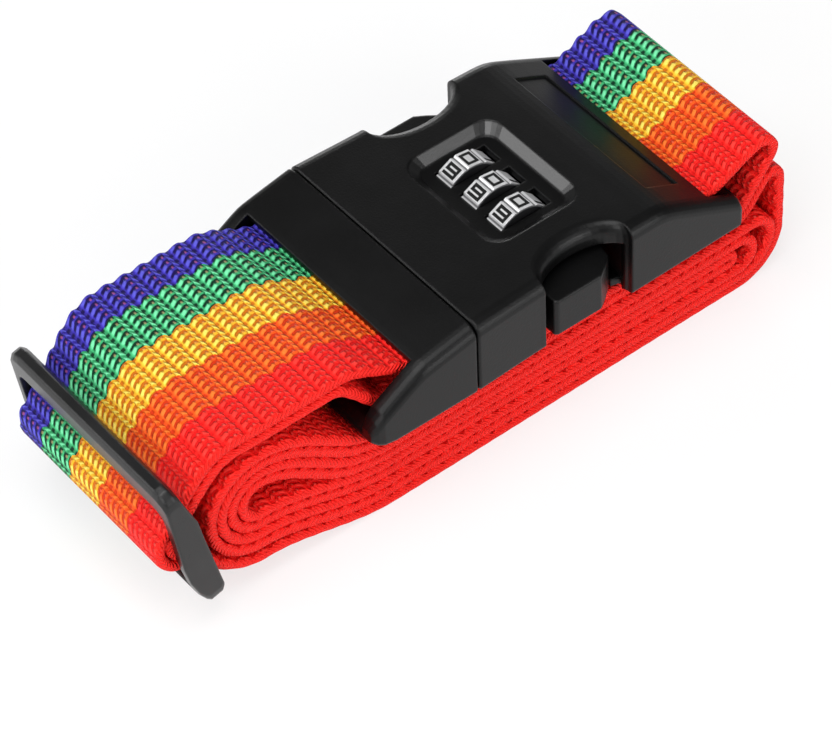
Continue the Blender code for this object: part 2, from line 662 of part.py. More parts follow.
def build_slider(finish):
    """Three-bar slider with two slots, standing at the left fold of the webbing."""
    origin = (SLIDER_X, 0.0, SLIDER_Z)
    stops = []
    for turn in (0.0, 20.0, 40.0, 65.0, 90.0):
        a = math.radians(turn)
        inset = SLIDER_CORNER * (1.0 - math.sin(a))
        stops.append((SLIDER_CORNER * (1.0 - math.cos(a)), 1.0 - 2.0 * inset / SLIDER_HEIGHT))
    rings = [slider_ring(-SLIDER_HALF + d, share) for d, share in stops]
    rings += [slider_ring(SLIDER_HALF - d, share) for d, share in reversed(stops)]
    frame = loft("slider", rings, finish, origin)
    soften(frame, 0.35, 2, 50.0)

    outline = rounded(0.0, 0.0, SLIDER_OPENING / 2, SLIDER_SLOT_HALF, SLIDER_SLOT_CORNER)
    ends = [[lean(a, c, y) for a, y in outline] for c in (-9.0, 9.0)]
    combine(frame, loft("cut_slider_opening", ends, None, origin), "DIFFERENCE")
    bar = []
    for y in (-SLIDER_SLOT_HALF - 1.0, SLIDER_SLOT_HALF + 1.0):
        bar.append([lean(a, c, y) for a, c in circle((0.0, 0.0), SLIDER_BAR_RADIUS, 20)])
    combine(frame, loft("add_slider_bar", bar, None, origin), "UNION")


# Path of the webbing, as points and directions in the x z plane


def arc(centre, radius, start, end):
    """Part of a circle from one angle to another, in degrees."""
    count = max(4, int(abs(end - start) / 11.0) + 1)
    a = np.radians(np.linspace(start, end, count))
    way = 1.0 if end > start else -1.0
    points = np.stack([centre[0] + radius * np.cos(a), centre[1] + radius * np.sin(a)], 1)
    heading = np.stack([-np.sin(a), np.cos(a)], 1) * way
    return points, heading


def bend(start, start_heading, end, end_heading, count=14, pull=1.0):
    """Smooth curve between two points with given headings, in degrees."""
    p0, p1 = np.array(start), np.array(end)
    size = np.linalg.norm(p1 - p0) * pull
    h0, h1 = math.radians(start_heading), math.radians(end_heading)
    d0 = np.array([math.cos(h0), math.sin(h0)]) * size
    d1 = np.array([math.cos(h1), math.sin(h1)]) * size
    t = np.linspace(0.0, 1.0, count)[:, None]
    points = (2 * t ** 3 - 3 * t ** 2 + 1) * p0 + (t ** 3 - 2 * t ** 2 + t) * d0
    points += (-2 * t ** 3 + 3 * t ** 2) * p1 + (t ** 3 - t ** 2) * d1
    heading = (6 * t ** 2 - 6 * t) * (p0 - p1) + (3 * t ** 2 - 4 * t + 1) * d0 + (3 * t ** 2 - 2 * t) * d1
    return points, heading / np.linalg.norm(heading, axis=1, keepdims=True)


def flat_height(layer):
    """Middle of a layer in the flat stack, counted from the floor."""
    return WEB_THICK / 2 + layer * STACK_PITCH


def group_height(x, group):
    """Middle of the guiding layer of a group at x: the floor layer, the low group or the high group."""
    x = np.asarray(x, float)
    ease = smooth_step((RAMP_START_X - x) / (RAMP_START_X - EYE_X))
    if group == LOW[4]:
        return flat_height(group) + FLOOR_RISE * ease
    low = flat_height(LOW[0])
    low_rise = EYE_Z - EYE_RADIUS - low
    if group == LOW[0]:
        return low + low_rise * ease
    lift = smooth_step((LIFT_START_X - x) / (LIFT_START_X - EYE_X))
    high = flat_height(HIGH[0])
    return high + low_rise * ease + (EYE_Z + EYE_RADIUS - high - low_rise) * lift


def turn_radius(layer):
    """Radius of the left turn that a layer runs into."""
    place = layer - LAYERS_LOW if layer >= LAYERS_LOW else LAYERS_LOW - 1 - layer
    return EYE_RADIUS + place * STACK_PITCH


def layer_run(layer, right, to_left):
    """One layer between the left turn and its right end, a constant distance from its group's guide."""
    group = LOW[4]
    if layer != LOW[4]:
        group = HIGH[0] if layer >= LAYERS_LOW else LOW[0]
    x = np.append(np.linspace(EYE_X, RAMP_START_X, 22), right)
    slope = (group_height(x + 0.05, group) - group_height(x - 0.05, group)) / 0.1
    slope[0] = 0.0
    slope[-1] = 0.0
    heading = np.stack([np.ones_like(slope), slope], 1)
    heading /= np.linalg.norm(heading, axis=1, keepdims=True)
    away = (layer - group) * STACK_PITCH
    points = np.stack([x - heading[:, 1] * away, group_height(x, group) + heading[:, 0] * away], 1)
    if to_left:
        return points[::-1], -heading[::-1]
    return points, heading


def straight(start, end):
    """Straight piece between two points."""
    points = np.array([start, end], float)
    heading = points[1] - points[0]
    heading = heading / np.linalg.norm(heading)
    return points, np.array([heading, heading])


def drop(span, start_z, end_z, count=16):
    """Eased change of height along x."""
    t = np.linspace(0.0, 1.0, count)
    x = span[0] + (span[1] - span[0]) * t
    z = start_z + (end_z - start_z) * smooth_step(t)
    heading = np.stack([np.full(count, span[1] - span[0]), (end_z - start_z) * 6 * t * (1 - t)], 1)
    return np.stack([x, z], 1), heading / np.linalg.norm(heading, axis=1, keepdims=True)


def lock_loop_parts():
    """Webbing from the pin in the lock, through the slot and back under the lock."""
    hold = ANCHOR_RADIUS + CLEAR + WEB_THICK / 2
    top = ANCHOR_Z + hold
    lift = 14.0
    parts = [arc((ANCHOR_X, ANCHOR_Z), hold, 300.0, 90.0)]
    parts.append(straight((ANCHOR_X, top), (SLOT_START - 0.5, top)))
    over = arc((LOOP_X, LOOP_Z), LOOP_RADIUS, 90.0 + lift, -RETURN_ANGLE)
    parts.append(bend(parts[-1][0][-1], 0.0, over[0][0], lift, 14, 0.9))
    parts.append(over)
    back = arc(return_centre(), RETURN_RADIUS, -RETURN_ANGLE, -90.0)
    parts.append(bend(over[0][-1], 270.0 - RETURN_ANGLE, back[0][0], 270.0 - RETURN_ANGLE, 6))
    parts.append(back)
    high = flat_height(HIGH[3])
    parts.append(straight((LOCK_END, high), (LOOP_CUT_X + CUT_GAP, high)))
    return parts


def return_centre():
    """Centre of the bend that brings webbing under the lock."""
    return (LOCK_END, flat_height(HIGH[3]) + RETURN_RADIUS)


def coil_parts():
    """The flat winding, from the layer under the lock to the layer on the floor."""
    eye = (EYE_X, EYE_Z)
    parts = [layer_run(HIGH[3], LOOP_CUT_X, True)]
    parts.append(arc(eye, turn_radius(HIGH[3]), 90.0, 270.0))

    big = (RIGHT_END - WEB_THICK / 2 - BIG_TURN_RADIUS, WEB_THICK / 2 + BIG_TURN_RADIUS)
    inner = BIG_TURN_RADIUS - STACK_PITCH
    turn = flat_height(HIGH[1]) - big[1]
    parts.append(layer_run(LOW[3], big[0], False))
    parts.append(arc(big, inner, -90.0, 0.0))
    parts.append(arc((big[0] + inner - turn, big[1]), turn, 0.0, 90.0))
    parts.append(layer_run(HIGH[1], big[0] + inner - turn, True))
    parts.append(arc(eye, turn_radius(HIGH[1]), 90.0, 270.0))

    fold_z = (flat_height(LOW[0]) + flat_height(LOW[1])) / 2
    parts.append(layer_run(LOW[1], FOLD_X, False))
    parts.append(arc((FOLD_X, fold_z), STACK_PITCH / 2, -90.0, 90.0))
    parts.append(layer_run(LOW[0], FOLD_X, True))
    parts.append(arc(eye, turn_radius(LOW[0]), 270.0, 90.0))

    parts.append(layer_run(HIGH[0], INNER_TURN_X, False))
    parts.append(arc((INNER_TURN_X, fold_z), 1.5 * STACK_PITCH, 90.0, -90.0))
    parts.append(layer_run(LOW[2], INNER_TURN_X, True))
    parts.append(arc(eye, turn_radius(LOW[2]), 270.0, 90.0))

    parts.append(layer_run(HIGH[2], LOCK_END, False))
    rise = arc(return_centre(), RETURN_RADIUS + STACK_PITCH, -90.0, -RETURN_ANGLE)
    parts.append(rise)
    bulge = (RIGHT_END - WEB_THICK / 2 - BULGE_RADIUS, BULGE_Z)
    over = arc(bulge, BULGE_RADIUS, 180.0 - RETURN_ANGLE, 0.0)
    parts.append(bend(rise[0][-1], 90.0 - RETURN_ANGLE, over[0][0], 90.0 - RETURN_ANGLE, 5))
    parts.append(over)
    parts.append(arc(big, BIG_TURN_RADIUS, 0.0, -90.0))
    parts.append(layer_run(LOW[4], big[0], True))
    return parts


def run_parts():
    """Webbing from the winding through the slider, over to the plug and back to the slider bar."""
    seat = (SLIDER_X, SLIDER_Z)
    begin = (EYE_X - CUT_GAP, float(group_height(EYE_X, LOW[4])))
    hug = arc((EYE_X, EYE_Z), EYE_Z - begin[1], 262.0, 222.0)
    parts = [bend(begin, 180.0, hug[0][0], 172.0, 4), hug]
    wrap = arc(seat, STRAP_RADIUS, 256.0, 90.0 + SLIDER_EXIT)
    parts.append(bend(hug[0][-1], 132.0, wrap[0][0], 166.0, 10, 1.1))
    parts.append(wrap)

    a = math.radians(SLIDER_EXIT)
    turn = 11.0
    corner = (RUN_LEFT - turn * math.sin(a), RUN_Z - turn * (1 - math.cos(a)))
    parts.append(bend(wrap[0][-1], SLIDER_EXIT, corner, SLIDER_EXIT, 6))
    parts.append(arc((RUN_LEFT, RUN_Z - turn), turn, 90.0 + SLIDER_EXIT, 90.0))
    top = PLUG_BAR_RADIUS + 0.35 + WEB_THICK / 2
    parts.append(straight((RUN_LEFT, RUN_Z), (RUN_DROP[0], RUN_Z)))
    parts.append(drop(RUN_DROP, RUN_Z, PLUG_BAR_Z + top))
    parts.append(arc((PLUG_BAR_X, PLUG_BAR_Z), top, 90.0, -90.0))

    under = RUN_Z - STACK_PITCH
    parts.append(drop((UNDER_DROP[1], UNDER_DROP[0]), PLUG_BAR_Z - top, under))
    inner = turn - STACK_PITCH
    parts.append(arc((RUN_LEFT, RUN_Z - turn), inner, 90.0, 90.0 + SLIDER_EXIT))
    end = arc(seat, END_RADIUS, 90.0 + SLIDER_EXIT, 90.0 + SLIDER_EXIT + END_WRAP)
    parts.append(bend(parts[-1][0][-1], 180.0 + SLIDER_EXIT, end[0][0], 180.0 + SLIDER_EXIT, 6))
    parts.append(end)
    return parts


def join(parts):
    """Put pieces of the path one after another."""
    points = [parts[0][0]]
    headings = [parts[0][1]]
    for pts, hds in parts[1:]:
        keep = 1 if np.linalg.norm(pts[0] - points[-1][-1]) < 0.2 else 0
        points.append(pts[keep:])
        headings.append(hds[keep:])
    return np.concatenate(points), np.concatenate(headings)


def least_gap(points):
    """Least clear distance between two turns of the webbing, and its length."""
    step = np.linalg.norm(np.diff(points, axis=0), axis=1)
    run = np.concatenate([[0.0], np.cumsum(step)])
    fine = np.arange(0.0, run[-1], 0.4)
    x = np.interp(fine, run, points[:, 0])
    z = np.interp(fine, run, points[:, 1])
    least, where = 1e9, (0.0, 0.0)
    for k in range(len(fine)):
        far = np.abs(fine - fine[k]) > 3.9
        apart = np.where(far, np.hypot(x - x[k], z - z[k]), 1e9)
        j = int(np.argmin(apart))
        if apart[j] < least:
            least, where = float(apart[j]), (float(x[k]), float(z[k]), float(x[j]), float(z[j]))
    return least - WEB_THICK, run[-1], where


def twist(x):
    """How far the strap leans with the slider at x: change of x and of z for each unit of y."""
    share = float(smooth_step((TWIST_X[0] - x) / (TWIST_X[0] - TWIST_X[1])))
    return SLIDER_YAW * share, SLIDER_ROLL * share


def build_webbing(finish):
    """The strap, one flat strip from the lock to the slider, cut at the ends of its winding."""
    lengths = (
        ("webbing_lock_loop", lock_loop_parts()),
        ("webbing_coil", coil_parts()),
        ("webbing_run", run_parts()),
    )
    whole = join([part for _, parts in lengths for part in parts])[0]
    gap, length, where = least_gap(whole)
    print("webbing layers", LAYERS_LOW + LAYERS_HIGH, "length mm", round(length, 1))
    print("webbing least gap mm", round(gap, 3), "between", [round(v, 1) for v in where])
    half, thick = WEB_WIDTH / 2, WEB_THICK / 2
    shape = [(half - WEB_EDGE, -thick), (half, WEB_EDGE - thick)]
    shape += [(half, thick - WEB_EDGE), (half - WEB_EDGE, thick)]
    shape += [(-y, -n) for y, n in shape]
    for name, parts in lengths:
        points, headings = join(parts)
        rings = []
        for (x, z), (hx, hz) in zip(points, headings):
            lead, tilt = twist(x) if name == "webbing_run" else (0.0, 0.0)
            rings.append([(x - hz * n + lead * y, y, z + hx * n + tilt * y) for y, n in shape])
        loft(name, rings, finish)


def main():
    """Build every piece of the strap."""
    clear_scene()
    black = material("black_plastic", (0.02, 0.02, 0.022), 0.45)
    inner = material("dark_plastic", (0.05, 0.05, 0.055), 0.5)
    steel = material("spring_steel", (0.6, 0.6, 0.62), 0.3, 1.0)
    silver = material("silver_dial", (0.72, 0.72, 0.74), 0.35, 0.6)
    cloth = material("rainbow_webbing", (0.8, 0.25, 0.1), 0.85)
    build_lock_cover(black)
    build_lock_base(black)
    build_screws(steel)
    build_dials(silver, inner, steel)
    build_dial_carrier(inner)
    build_small_lock_parts(steel, inner)
    build_plug(black)
    build_arm("release_arm_front", -1, black)
    build_arm("release_arm_back", 1, black)
    build_slider(black)
    build_webbing(cloth)


main()
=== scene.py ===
"""Looks of a wound rainbow luggage strap with a three-dial buckle and a three-bar slider.

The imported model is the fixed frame. The webbing is remade as one woven strip along the same
route, the moulded and metal pieces are dressed, and the dials get their numbers.
"""

import logging
import math
from dataclasses import dataclass, field
from enum import Enum
from typing import Any, ClassVar, Optional, Sequence, Union

import bmesh
import bpy
import numpy as np
from mathutils import Matrix, Vector


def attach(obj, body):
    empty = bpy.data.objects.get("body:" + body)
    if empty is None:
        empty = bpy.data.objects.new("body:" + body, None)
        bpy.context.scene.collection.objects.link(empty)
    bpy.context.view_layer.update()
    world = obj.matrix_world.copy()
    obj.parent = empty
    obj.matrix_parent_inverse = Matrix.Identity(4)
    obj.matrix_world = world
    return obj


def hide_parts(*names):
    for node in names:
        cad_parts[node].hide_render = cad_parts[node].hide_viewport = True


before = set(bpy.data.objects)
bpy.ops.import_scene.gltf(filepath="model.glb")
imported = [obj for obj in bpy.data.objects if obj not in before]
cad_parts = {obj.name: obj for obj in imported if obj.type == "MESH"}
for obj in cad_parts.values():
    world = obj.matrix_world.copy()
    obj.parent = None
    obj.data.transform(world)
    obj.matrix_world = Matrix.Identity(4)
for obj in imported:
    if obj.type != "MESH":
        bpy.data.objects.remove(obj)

LOG = logging.getLogger("luggage_strap")
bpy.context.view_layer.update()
Colour = tuple[float, float, float]
Place = tuple[float, float, float]
Point = tuple[float, float]

# Sizes are in millimetres, with x counted from the seam of the buckle, and MM turns them into metres.
MM = 0.001
MIDDLE_X = 5.075
RIB_PITCH = 4.33
DIAL_AXLE: Point = (27.5, 34.2)
DIAL_APOTHEM = 7.1


class Num:
    """A number socket of a material, with Python operators that add Math nodes."""

    def __init__(self, graph: "Graph", socket: bpy.types.NodeSocket) -> None:
        """Keep the socket and the graph it belongs to."""
        self.graph = graph
        self.socket = socket

    def math(self, operation: str, *others: Union["Num", float]) -> "Num":
        """Add a Math node.

        Args:
            operation: name of the Math node's operation.
            others: the second and third values, if any.

        Returns:
            The result as a Num.
        """
        node = self.graph.node("ShaderNodeMath", {"operation": operation}, [self, *others])
        return Num(self.graph, node.outputs[0])

    def __add__(self, other: Union["Num", float]) -> "Num":
        """Sum."""
        return self.math("ADD", other)

    def __radd__(self, other: float) -> "Num":
        """Sum with a plain number first."""
        return self.math("ADD", other)

    def __sub__(self, other: Union["Num", float]) -> "Num":
        """Difference."""
        return self.math("SUBTRACT", other)

    def __rsub__(self, other: float) -> "Num":
        """Difference with a plain number first."""
        return (self * -1.0) + other

    def __mul__(self, other: Union["Num", float]) -> "Num":
        """Product."""
        return self.math("MULTIPLY", other)

    def __rmul__(self, other: float) -> "Num":
        """Product with a plain number first."""
        return self.math("MULTIPLY", other)

    def __truediv__(self, other: Union["Num", float]) -> "Num":
        """Quotient."""
        return self.math("DIVIDE", other)

    def __rtruediv__(self, other: float) -> "Num":
        """Quotient with a plain number first."""
        return self.math("POWER", -1.0) * other

    def smooth(self, low: float, high: float) -> "Num":
        """Ease from 0 at low to 1 at high.

        Args:
            low: value that gives 0.
            high: value that gives 1.

        Returns:
            The eased value.
        """
        settings = {"interpolation_type": "SMOOTHSTEP"}
        inputs = {"Value": self, "From Min": low, "From Max": high}
        node = self.graph.node("ShaderNodeMapRange", settings, inputs)
        return Num(self.graph, node.outputs["Result"])

    def hump(self, rise: Point, fall: Point) -> "Num":
        """Ease up from 0 to 1 over one span and down again over another.

        Args:
            rise: start and end of the way up.
            fall: start and end of the way down.

        Returns:
            The eased value.
        """
        return self.smooth(*rise) * (1.0 - self.smooth(*fall))


Value = Union[Num, float, int, Sequence[float], bpy.types.NodeSocket]


class Graph:
    """The node tree of one material."""

    def __init__(self, name: str) -> None:
        """Start an empty material with an output and a Principled shader."""
        self.material = bpy.data.materials.new(name)
        self.material.use_nodes = True
        self.tree = self.material.node_tree
        self.shader = self.tree.nodes["Principled BSDF"]
        self.output = self.tree.nodes["Material Output"]

    def node(self, kind: str, settings: Optional[dict[str, Any]] = None,
             inputs: Any = None) -> bpy.types.Node:
        """Add any node.

        Args:
            kind: the node's type name.
            settings: attributes to set first; "stops" fills a colour ramp.
            inputs: values or links, by socket name in a dict or by place in a list.

        Returns:
            The new node.
        """
        made = self.tree.nodes.new(kind)
        for key, value in (settings or {}).items():
            if key == "stops":
                self._fill_ramp(made, value)
            else:
                setattr(made, key, value)
        pairs = enumerate(inputs) if isinstance(inputs, list) else (inputs or {}).items()
        for key, value in pairs:
            self.feed(made.inputs[key], value)
        return made

    def _fill_ramp(self, made: bpy.types.Node, stops: Sequence[tuple[float, Colour]]) -> None:
        """Give a colour ramp its stops, with sudden changes between them.

        Args:
            made: the ramp's node.
            stops: place from 0 to 1 and colour of each stop.
        """
        ramp = made.color_ramp
        ramp.interpolation = "CONSTANT"
        while len(ramp.elements) < len(stops):
            ramp.elements.new(1.0)
        for element, (place, colour) in zip(ramp.elements, stops):
            element.position = place
            element.color = (*colour, 1.0)

    def feed(self, socket: bpy.types.NodeSocket, value: Value) -> None:
        """Link a socket or set its value.

        Args:
            socket: the input to feed.
            value: a number, a socket or a plain value.
        """
        if isinstance(value, Num):
            self.tree.links.new(value.socket, socket)
        elif isinstance(value, bpy.types.NodeSocket):
            self.tree.links.new(value, socket)
        else:
            socket.default_value = value

    def set(self, name: str, value: Value) -> None:
        """Feed a socket of the Principled shader."""
        self.feed(self.shader.inputs[name], value)

    def place(self) -> bpy.types.NodeSocket:
        """Object coordinates of the surface, in metres."""
        return self.node("ShaderNodeTexCoord").outputs["Object"]

    def stretched(self, scale: Place) -> bpy.types.NodeSocket:
        """Object coordinates multiplied by a scale for each axis."""
        inputs = {"Vector": self.place(), "Scale": scale}
        return self.node("ShaderNodeMapping", {}, inputs).outputs["Vector"]

    def axes(self, where: bpy.types.NodeSocket) -> list[Num]:
        """Split coordinates into their three numbers."""
        split = self.node("ShaderNodeSeparateXYZ", {}, {"Vector": where})
        return [Num(self, socket) for socket in split.outputs]

    def noise(self, scale: float, detail: float = 2.0,
              where: Optional[bpy.types.NodeSocket] = None) -> Num:
        """Soft noise from 0 to 1.

        Args:
            scale: waves per metre.
            detail: number of finer layers.
            where: coordinates, Object coordinates if left out.

        Returns:
            The noise value.
        """
        inputs = {"Vector": where or self.place(), "Scale": scale, "Detail": detail}
        return Num(self, self.node("ShaderNodeTexNoise", {}, inputs).outputs["Fac"])

    def mix(self, factor: Value, low: Value, high: Value) -> bpy.types.NodeSocket:
        """Mix two colours.

        Args:
            factor: 0 gives low and 1 gives high.
            low: first colour.
            high: second colour.

        Returns:
            The mixed colour socket.
        """
        made = self.node("ShaderNodeMix", {"data_type": "RGBA"})
        for socket, value in ((made.inputs[0], factor), (made.inputs[6], low), (made.inputs[7], high)):
            if isinstance(value, tuple):
                value = (*value, 1.0)
            self.feed(socket, value)
        return made.outputs[2]

    def bump(self, height: Num, distance: float, strength: float = 1.0,
             normal: Optional[Value] = None) -> None:
        """Raise the surface by a height pattern.

        Args:
            height: pattern from 0 to 1.
            distance: height of 1, in metres.
            strength: how much of it shows.
            normal: normal to start from, if any.
        """
        inputs = {"Height": height, "Distance": distance, "Strength": strength}
        if normal is not None:
            inputs["Normal"] = normal
        self.set("Normal", self.node("ShaderNodeBump", {}, inputs).outputs["Normal"])

    def soft_edges(self, radius: float) -> bpy.types.NodeSocket:
        """Normals rounded over edges within a radius in metres."""
        return self.node("ShaderNodeBevel", {"samples": 6}, {"Radius": radius}).outputs["Normal"]


@dataclass(frozen=True)
class Stripe:
    """One colour of the webbing: its first lane, its yarn, the painted shade of its low gaps and the painted
    highlight of its raised tips.
    """

    lane: int
    yarn: Colour
    # The gap colour is painted shade for the low places of the weave, and the tip colour is a painted
    # highlight for its raised places.
    gap: Colour
    painted_highlight: Colour


@dataclass(frozen=True)
class WovenStripes:
    """Woven webbing with stripes along its length, read from the UV map in millimetres.

    Ribs lie across the strip, and each is followed from 0 to 1 along the strip. In every lane of yarn
    a slanted bead comes first, over a low slot. The slot ends in an arch round a short pillar, which
    shows a speck of the weft. Then come a fold of small beads and a groove with low spots. The low
    places are darker with painted shade, and the raised beads carry a painted highlight. The edges
    of the strip show a chain of slanted stitches.
    """

    name: str = "rainbow_webbing"
    lane_pitch: float = 1.72
    lanes: float = 34.0
    border: float = 15.75
    slant: float = 0.8
    half: float = 24.8
    rim: Point = (0.9, 0.3)
    chain_pitch: float = 1.05
    bead: tuple[Point, Point] = ((0.06, 0.3), (0.44, 0.58))
    slot: tuple[Point, Point] = ((0.16, 0.3), (0.73, 0.82))
    pillar: float = 0.635
    leg: float = 0.115
    fold: float = 0.875
    relief: float = 0.0006
    weft: Colour = (0.55, 0.110, 0.085)
    # Each stripe: first lane, yarn colour, painted shade for the gaps, painted highlight for the tips.
    stripes: tuple[Stripe, ...] = (
        Stripe(-7, (0.050, 0.034, 0.460), (0.008, 0.003, 0.070), (0.130, 0.130, 0.700)),
        Stripe(0, (0.060, 0.530, 0.200), (0.000, 0.028, 0.012), (0.250, 0.920, 0.500)),
        Stripe(6, (1.000, 0.580, 0.032), (0.580, 0.140, 0.003), (1.000, 0.840, 0.170)),
        Stripe(12, (1.000, 0.120, 0.011), (0.620, 0.030, 0.002), (1.000, 0.230, 0.035)),
        Stripe(18, (1.000, 0.018, 0.012), (0.740, 0.004, 0.004), (1.000, 0.052, 0.040)),
    )

    def ramp(self, graph: Graph, lane: Num, colours: Sequence[Colour]) -> bpy.types.NodeSocket:
        """Pick a colour for each lane.

        Args:
            graph: the material being made.
            lane: number of the lane.
            colours: one colour for each stripe.

        Returns:
            The colour socket.
        """
        first = self.stripes[0].lane
        places = [(stripe.lane - first) / self.lanes for stripe in self.stripes]
        place = (lane + (0.5 - first)) / self.lanes
        settings = {"stops": list(zip(places, colours))}
        return graph.node("ShaderNodeValToRGB", settings, {"Fac": place}).outputs["Color"]

    def weave(self, u: Num, down: Num) -> tuple[Num, Num]:
        """Lay out one rib of one lane.

        Args:
            u: place in the rib along the strip, from 0 to 1.
            down: place in the lane across the strip, from 0 to 1.

        Returns:
            The height of the yarn and the share of the weft that shows.
        """
        crown = ((down - 0.5) * math.pi).math("COSINE")
        bead = crown.smooth(0.3, 1.0) * u.hump(*self.bead)
        slot = (1.0 - crown.smooth(0.2, 0.74)) * u.hump(*self.slot)
        away = (u - self.pillar).math("ABSOLUTE")
        legs = (1.0 - (away - self.leg).math("ABSOLUTE").smooth(0.03, 0.075)) * (1.0 - down.smooth(0.3, 0.5))
        apart = (away * 16.0).math("POWER", 2.0) + ((down - 0.3) * 4.5).math("POWER", 2.0)
        bow = ((down - 0.65) * (2.0 * math.pi)).math("COSINE")
        fold = 1.0 - (u - self.fold - bow * 0.02).math("ABSOLUTE").smooth(0.06, 0.14)
        parting = u.smooth(0.935, 0.985) + 1.0 - u.smooth(0.06, 0.16)
        groove = parting * (1.0 - crown.smooth(0.35, 0.95) * 0.75)
        ground = 0.46 - u.smooth(0.72, 0.84) * 0.26
        yarn = bead * 0.54 - slot * 0.5 - legs * 0.45 + ground
        height = yarn.math("MAXIMUM", fold * (bow * 0.4 + 0.74)) * (1.0 - groove)
        return height, 1.0 - apart.smooth(0.3, 1.5)

    def build(self) -> bpy.types.Material:
        """Make the material.

        Returns:
            The material.
        """
        graph = Graph(self.name)
        where = graph.node("ShaderNodeUVMap", {"uv_map": "weave"}).outputs["UV"]
        along, across = (number * (1.0 / MM) for number in graph.axes(where)[:2])
        stray = graph.noise(650.0, 1.0, where) - 0.5
        u = (along / RIB_PITCH + stray * 0.07).math("FRACT")
        wave = u.smooth(0.0, 0.62) - u.smooth(0.84, 1.0)
        place = (self.border - across + wave * self.slant + stray * 0.45) / self.lane_pitch
        height, speck = self.weave(u, place.math("FRACT"))
        edge = across.math("ABSOLUTE")
        slope = (edge - self.half) * 0.9
        chain = ((along / self.chain_pitch + slope) * (2.0 * math.pi)).math("COSINE") * 0.3 + 0.7
        rim = edge.smooth(self.half - self.rim[0], self.half - self.rim[1])
        height = height + (chain - height) * rim
        grain = graph.noise(1900.0, 3.0, where)
        # Painted light from the height of the yarn: low places mix towards painted shade, raised places
        # towards a painted highlight.
        painted_light_height = height + grain * 0.3 - 0.15
        painted_highlight = painted_light_height.smooth(0.55, 0.98) * (0.65 - rim * 0.5)
        lane = place.math("FLOOR")
        bright = self.ramp(graph, lane, [stripe.yarn for stripe in self.stripes])
        # The second ramp is painted shade and the third (pale) is a painted highlight.
        gap_shade_ramp = self.ramp(graph, lane, [stripe.gap for stripe in self.stripes])
        pale = self.ramp(graph, lane, [stripe.painted_highlight for stripe in self.stripes])
        cloth = graph.mix(painted_highlight, graph.mix(painted_light_height.smooth(0.0, 0.7), gap_shade_ramp, bright), pale)
        graph.set("Base Color", graph.mix(speck * (1.0 - rim) * 0.45, cloth, self.weft))
        graph.set("Roughness", 0.62)
        graph.set("Specular IOR Level", 0.16)
        graph.bump(height + grain * 0.2, self.relief, 1.0)
        return graph.material


@dataclass(frozen=True)
class MouldedPlastic:
    """Moulded plastic with a fine sparked skin and rounded edges."""

    name: str
    colour: Colour = (0.0014, 0.0014, 0.0015)
    roughness: float = 0.37
    specular: float = 0.27
    edge: float = 0.0006
    skin: float = 0.00004

    def paint(self) -> Graph:
        """Lay out the nodes; noise varies the colour, the gloss and the skin.

        Returns:
            The graph of the material.
        """
        graph = Graph(self.name)
        cloud = graph.noise(90.0, 3.0)
        grain = graph.noise(2200.0, 2.0)
        pale = tuple(1.5 * value for value in self.colour)
        graph.set("Base Color", graph.mix(cloud.smooth(0.35, 0.75), self.colour, pale))
        graph.set("Roughness", cloud * 0.08 + grain * 0.06 + (self.roughness - 0.07))
        graph.set("Specular IOR Level", self.specular)
        graph.bump(grain, self.skin, 0.7, graph.soft_edges(self.edge))
        return graph

    def build(self) -> bpy.types.Material:
        """Make the material."""
        return self.paint().material


@dataclass(frozen=True)
class WindowShell(MouldedPlastic):
    """Moulded plastic whose window walls are polished; a box in space tells the walls from the rest."""

    window: tuple[Place, Place] = ((0.0106, -0.0157, 0.0394), (0.0353, 0.0157, 0.0413))
    fade: float = 0.0002
    polish: float = 0.9

    def build(self) -> bpy.types.Material:
        """Make the material, then lay a coat of lacquer inside the box.

        Returns:
            The material.
        """
        graph = self.paint()
        inside: Union[Num, float] = self.polish
        for at, low, high in zip(graph.axes(graph.place()), *self.window):
            inside = at.hump((low, low + self.fade), (high - self.fade, high)) * inside
        graph.set("Coat Weight", inside)
        graph.set("Coat Roughness", 0.22)
        return graph.material


@dataclass(frozen=True)
class DrawnMetal:
    """Bright metal with fine scratches along one direction."""

    name: str
    colour: Colour = (0.62, 0.62, 0.63)
    roughness: float = 0.28
    metallic: float = 1.0
    stretch: Place = (60.0, 2400.0, 2400.0)

    def build(self) -> bpy.types.Material:
        """Make the material; stretched noise gives the scratches.

        Returns:
            The material.
        """
        graph = Graph(self.name)
        scratch = graph.noise(1.0, 2.0, graph.stretched(self.stretch))
        cloud = graph.noise(240.0, 2.0)
        dim = tuple(0.78 * value for value in self.colour)
        graph.set("Base Color", graph.mix(scratch.smooth(0.3, 0.7), dim, self.colour))
        graph.set("Metallic", self.metallic)
        graph.set("Roughness", cloud * 0.12 + scratch * 0.1 + (self.roughness - 0.1))
        graph.bump(scratch, 0.00002, 0.5, graph.soft_edges(0.00025))
        return graph.material


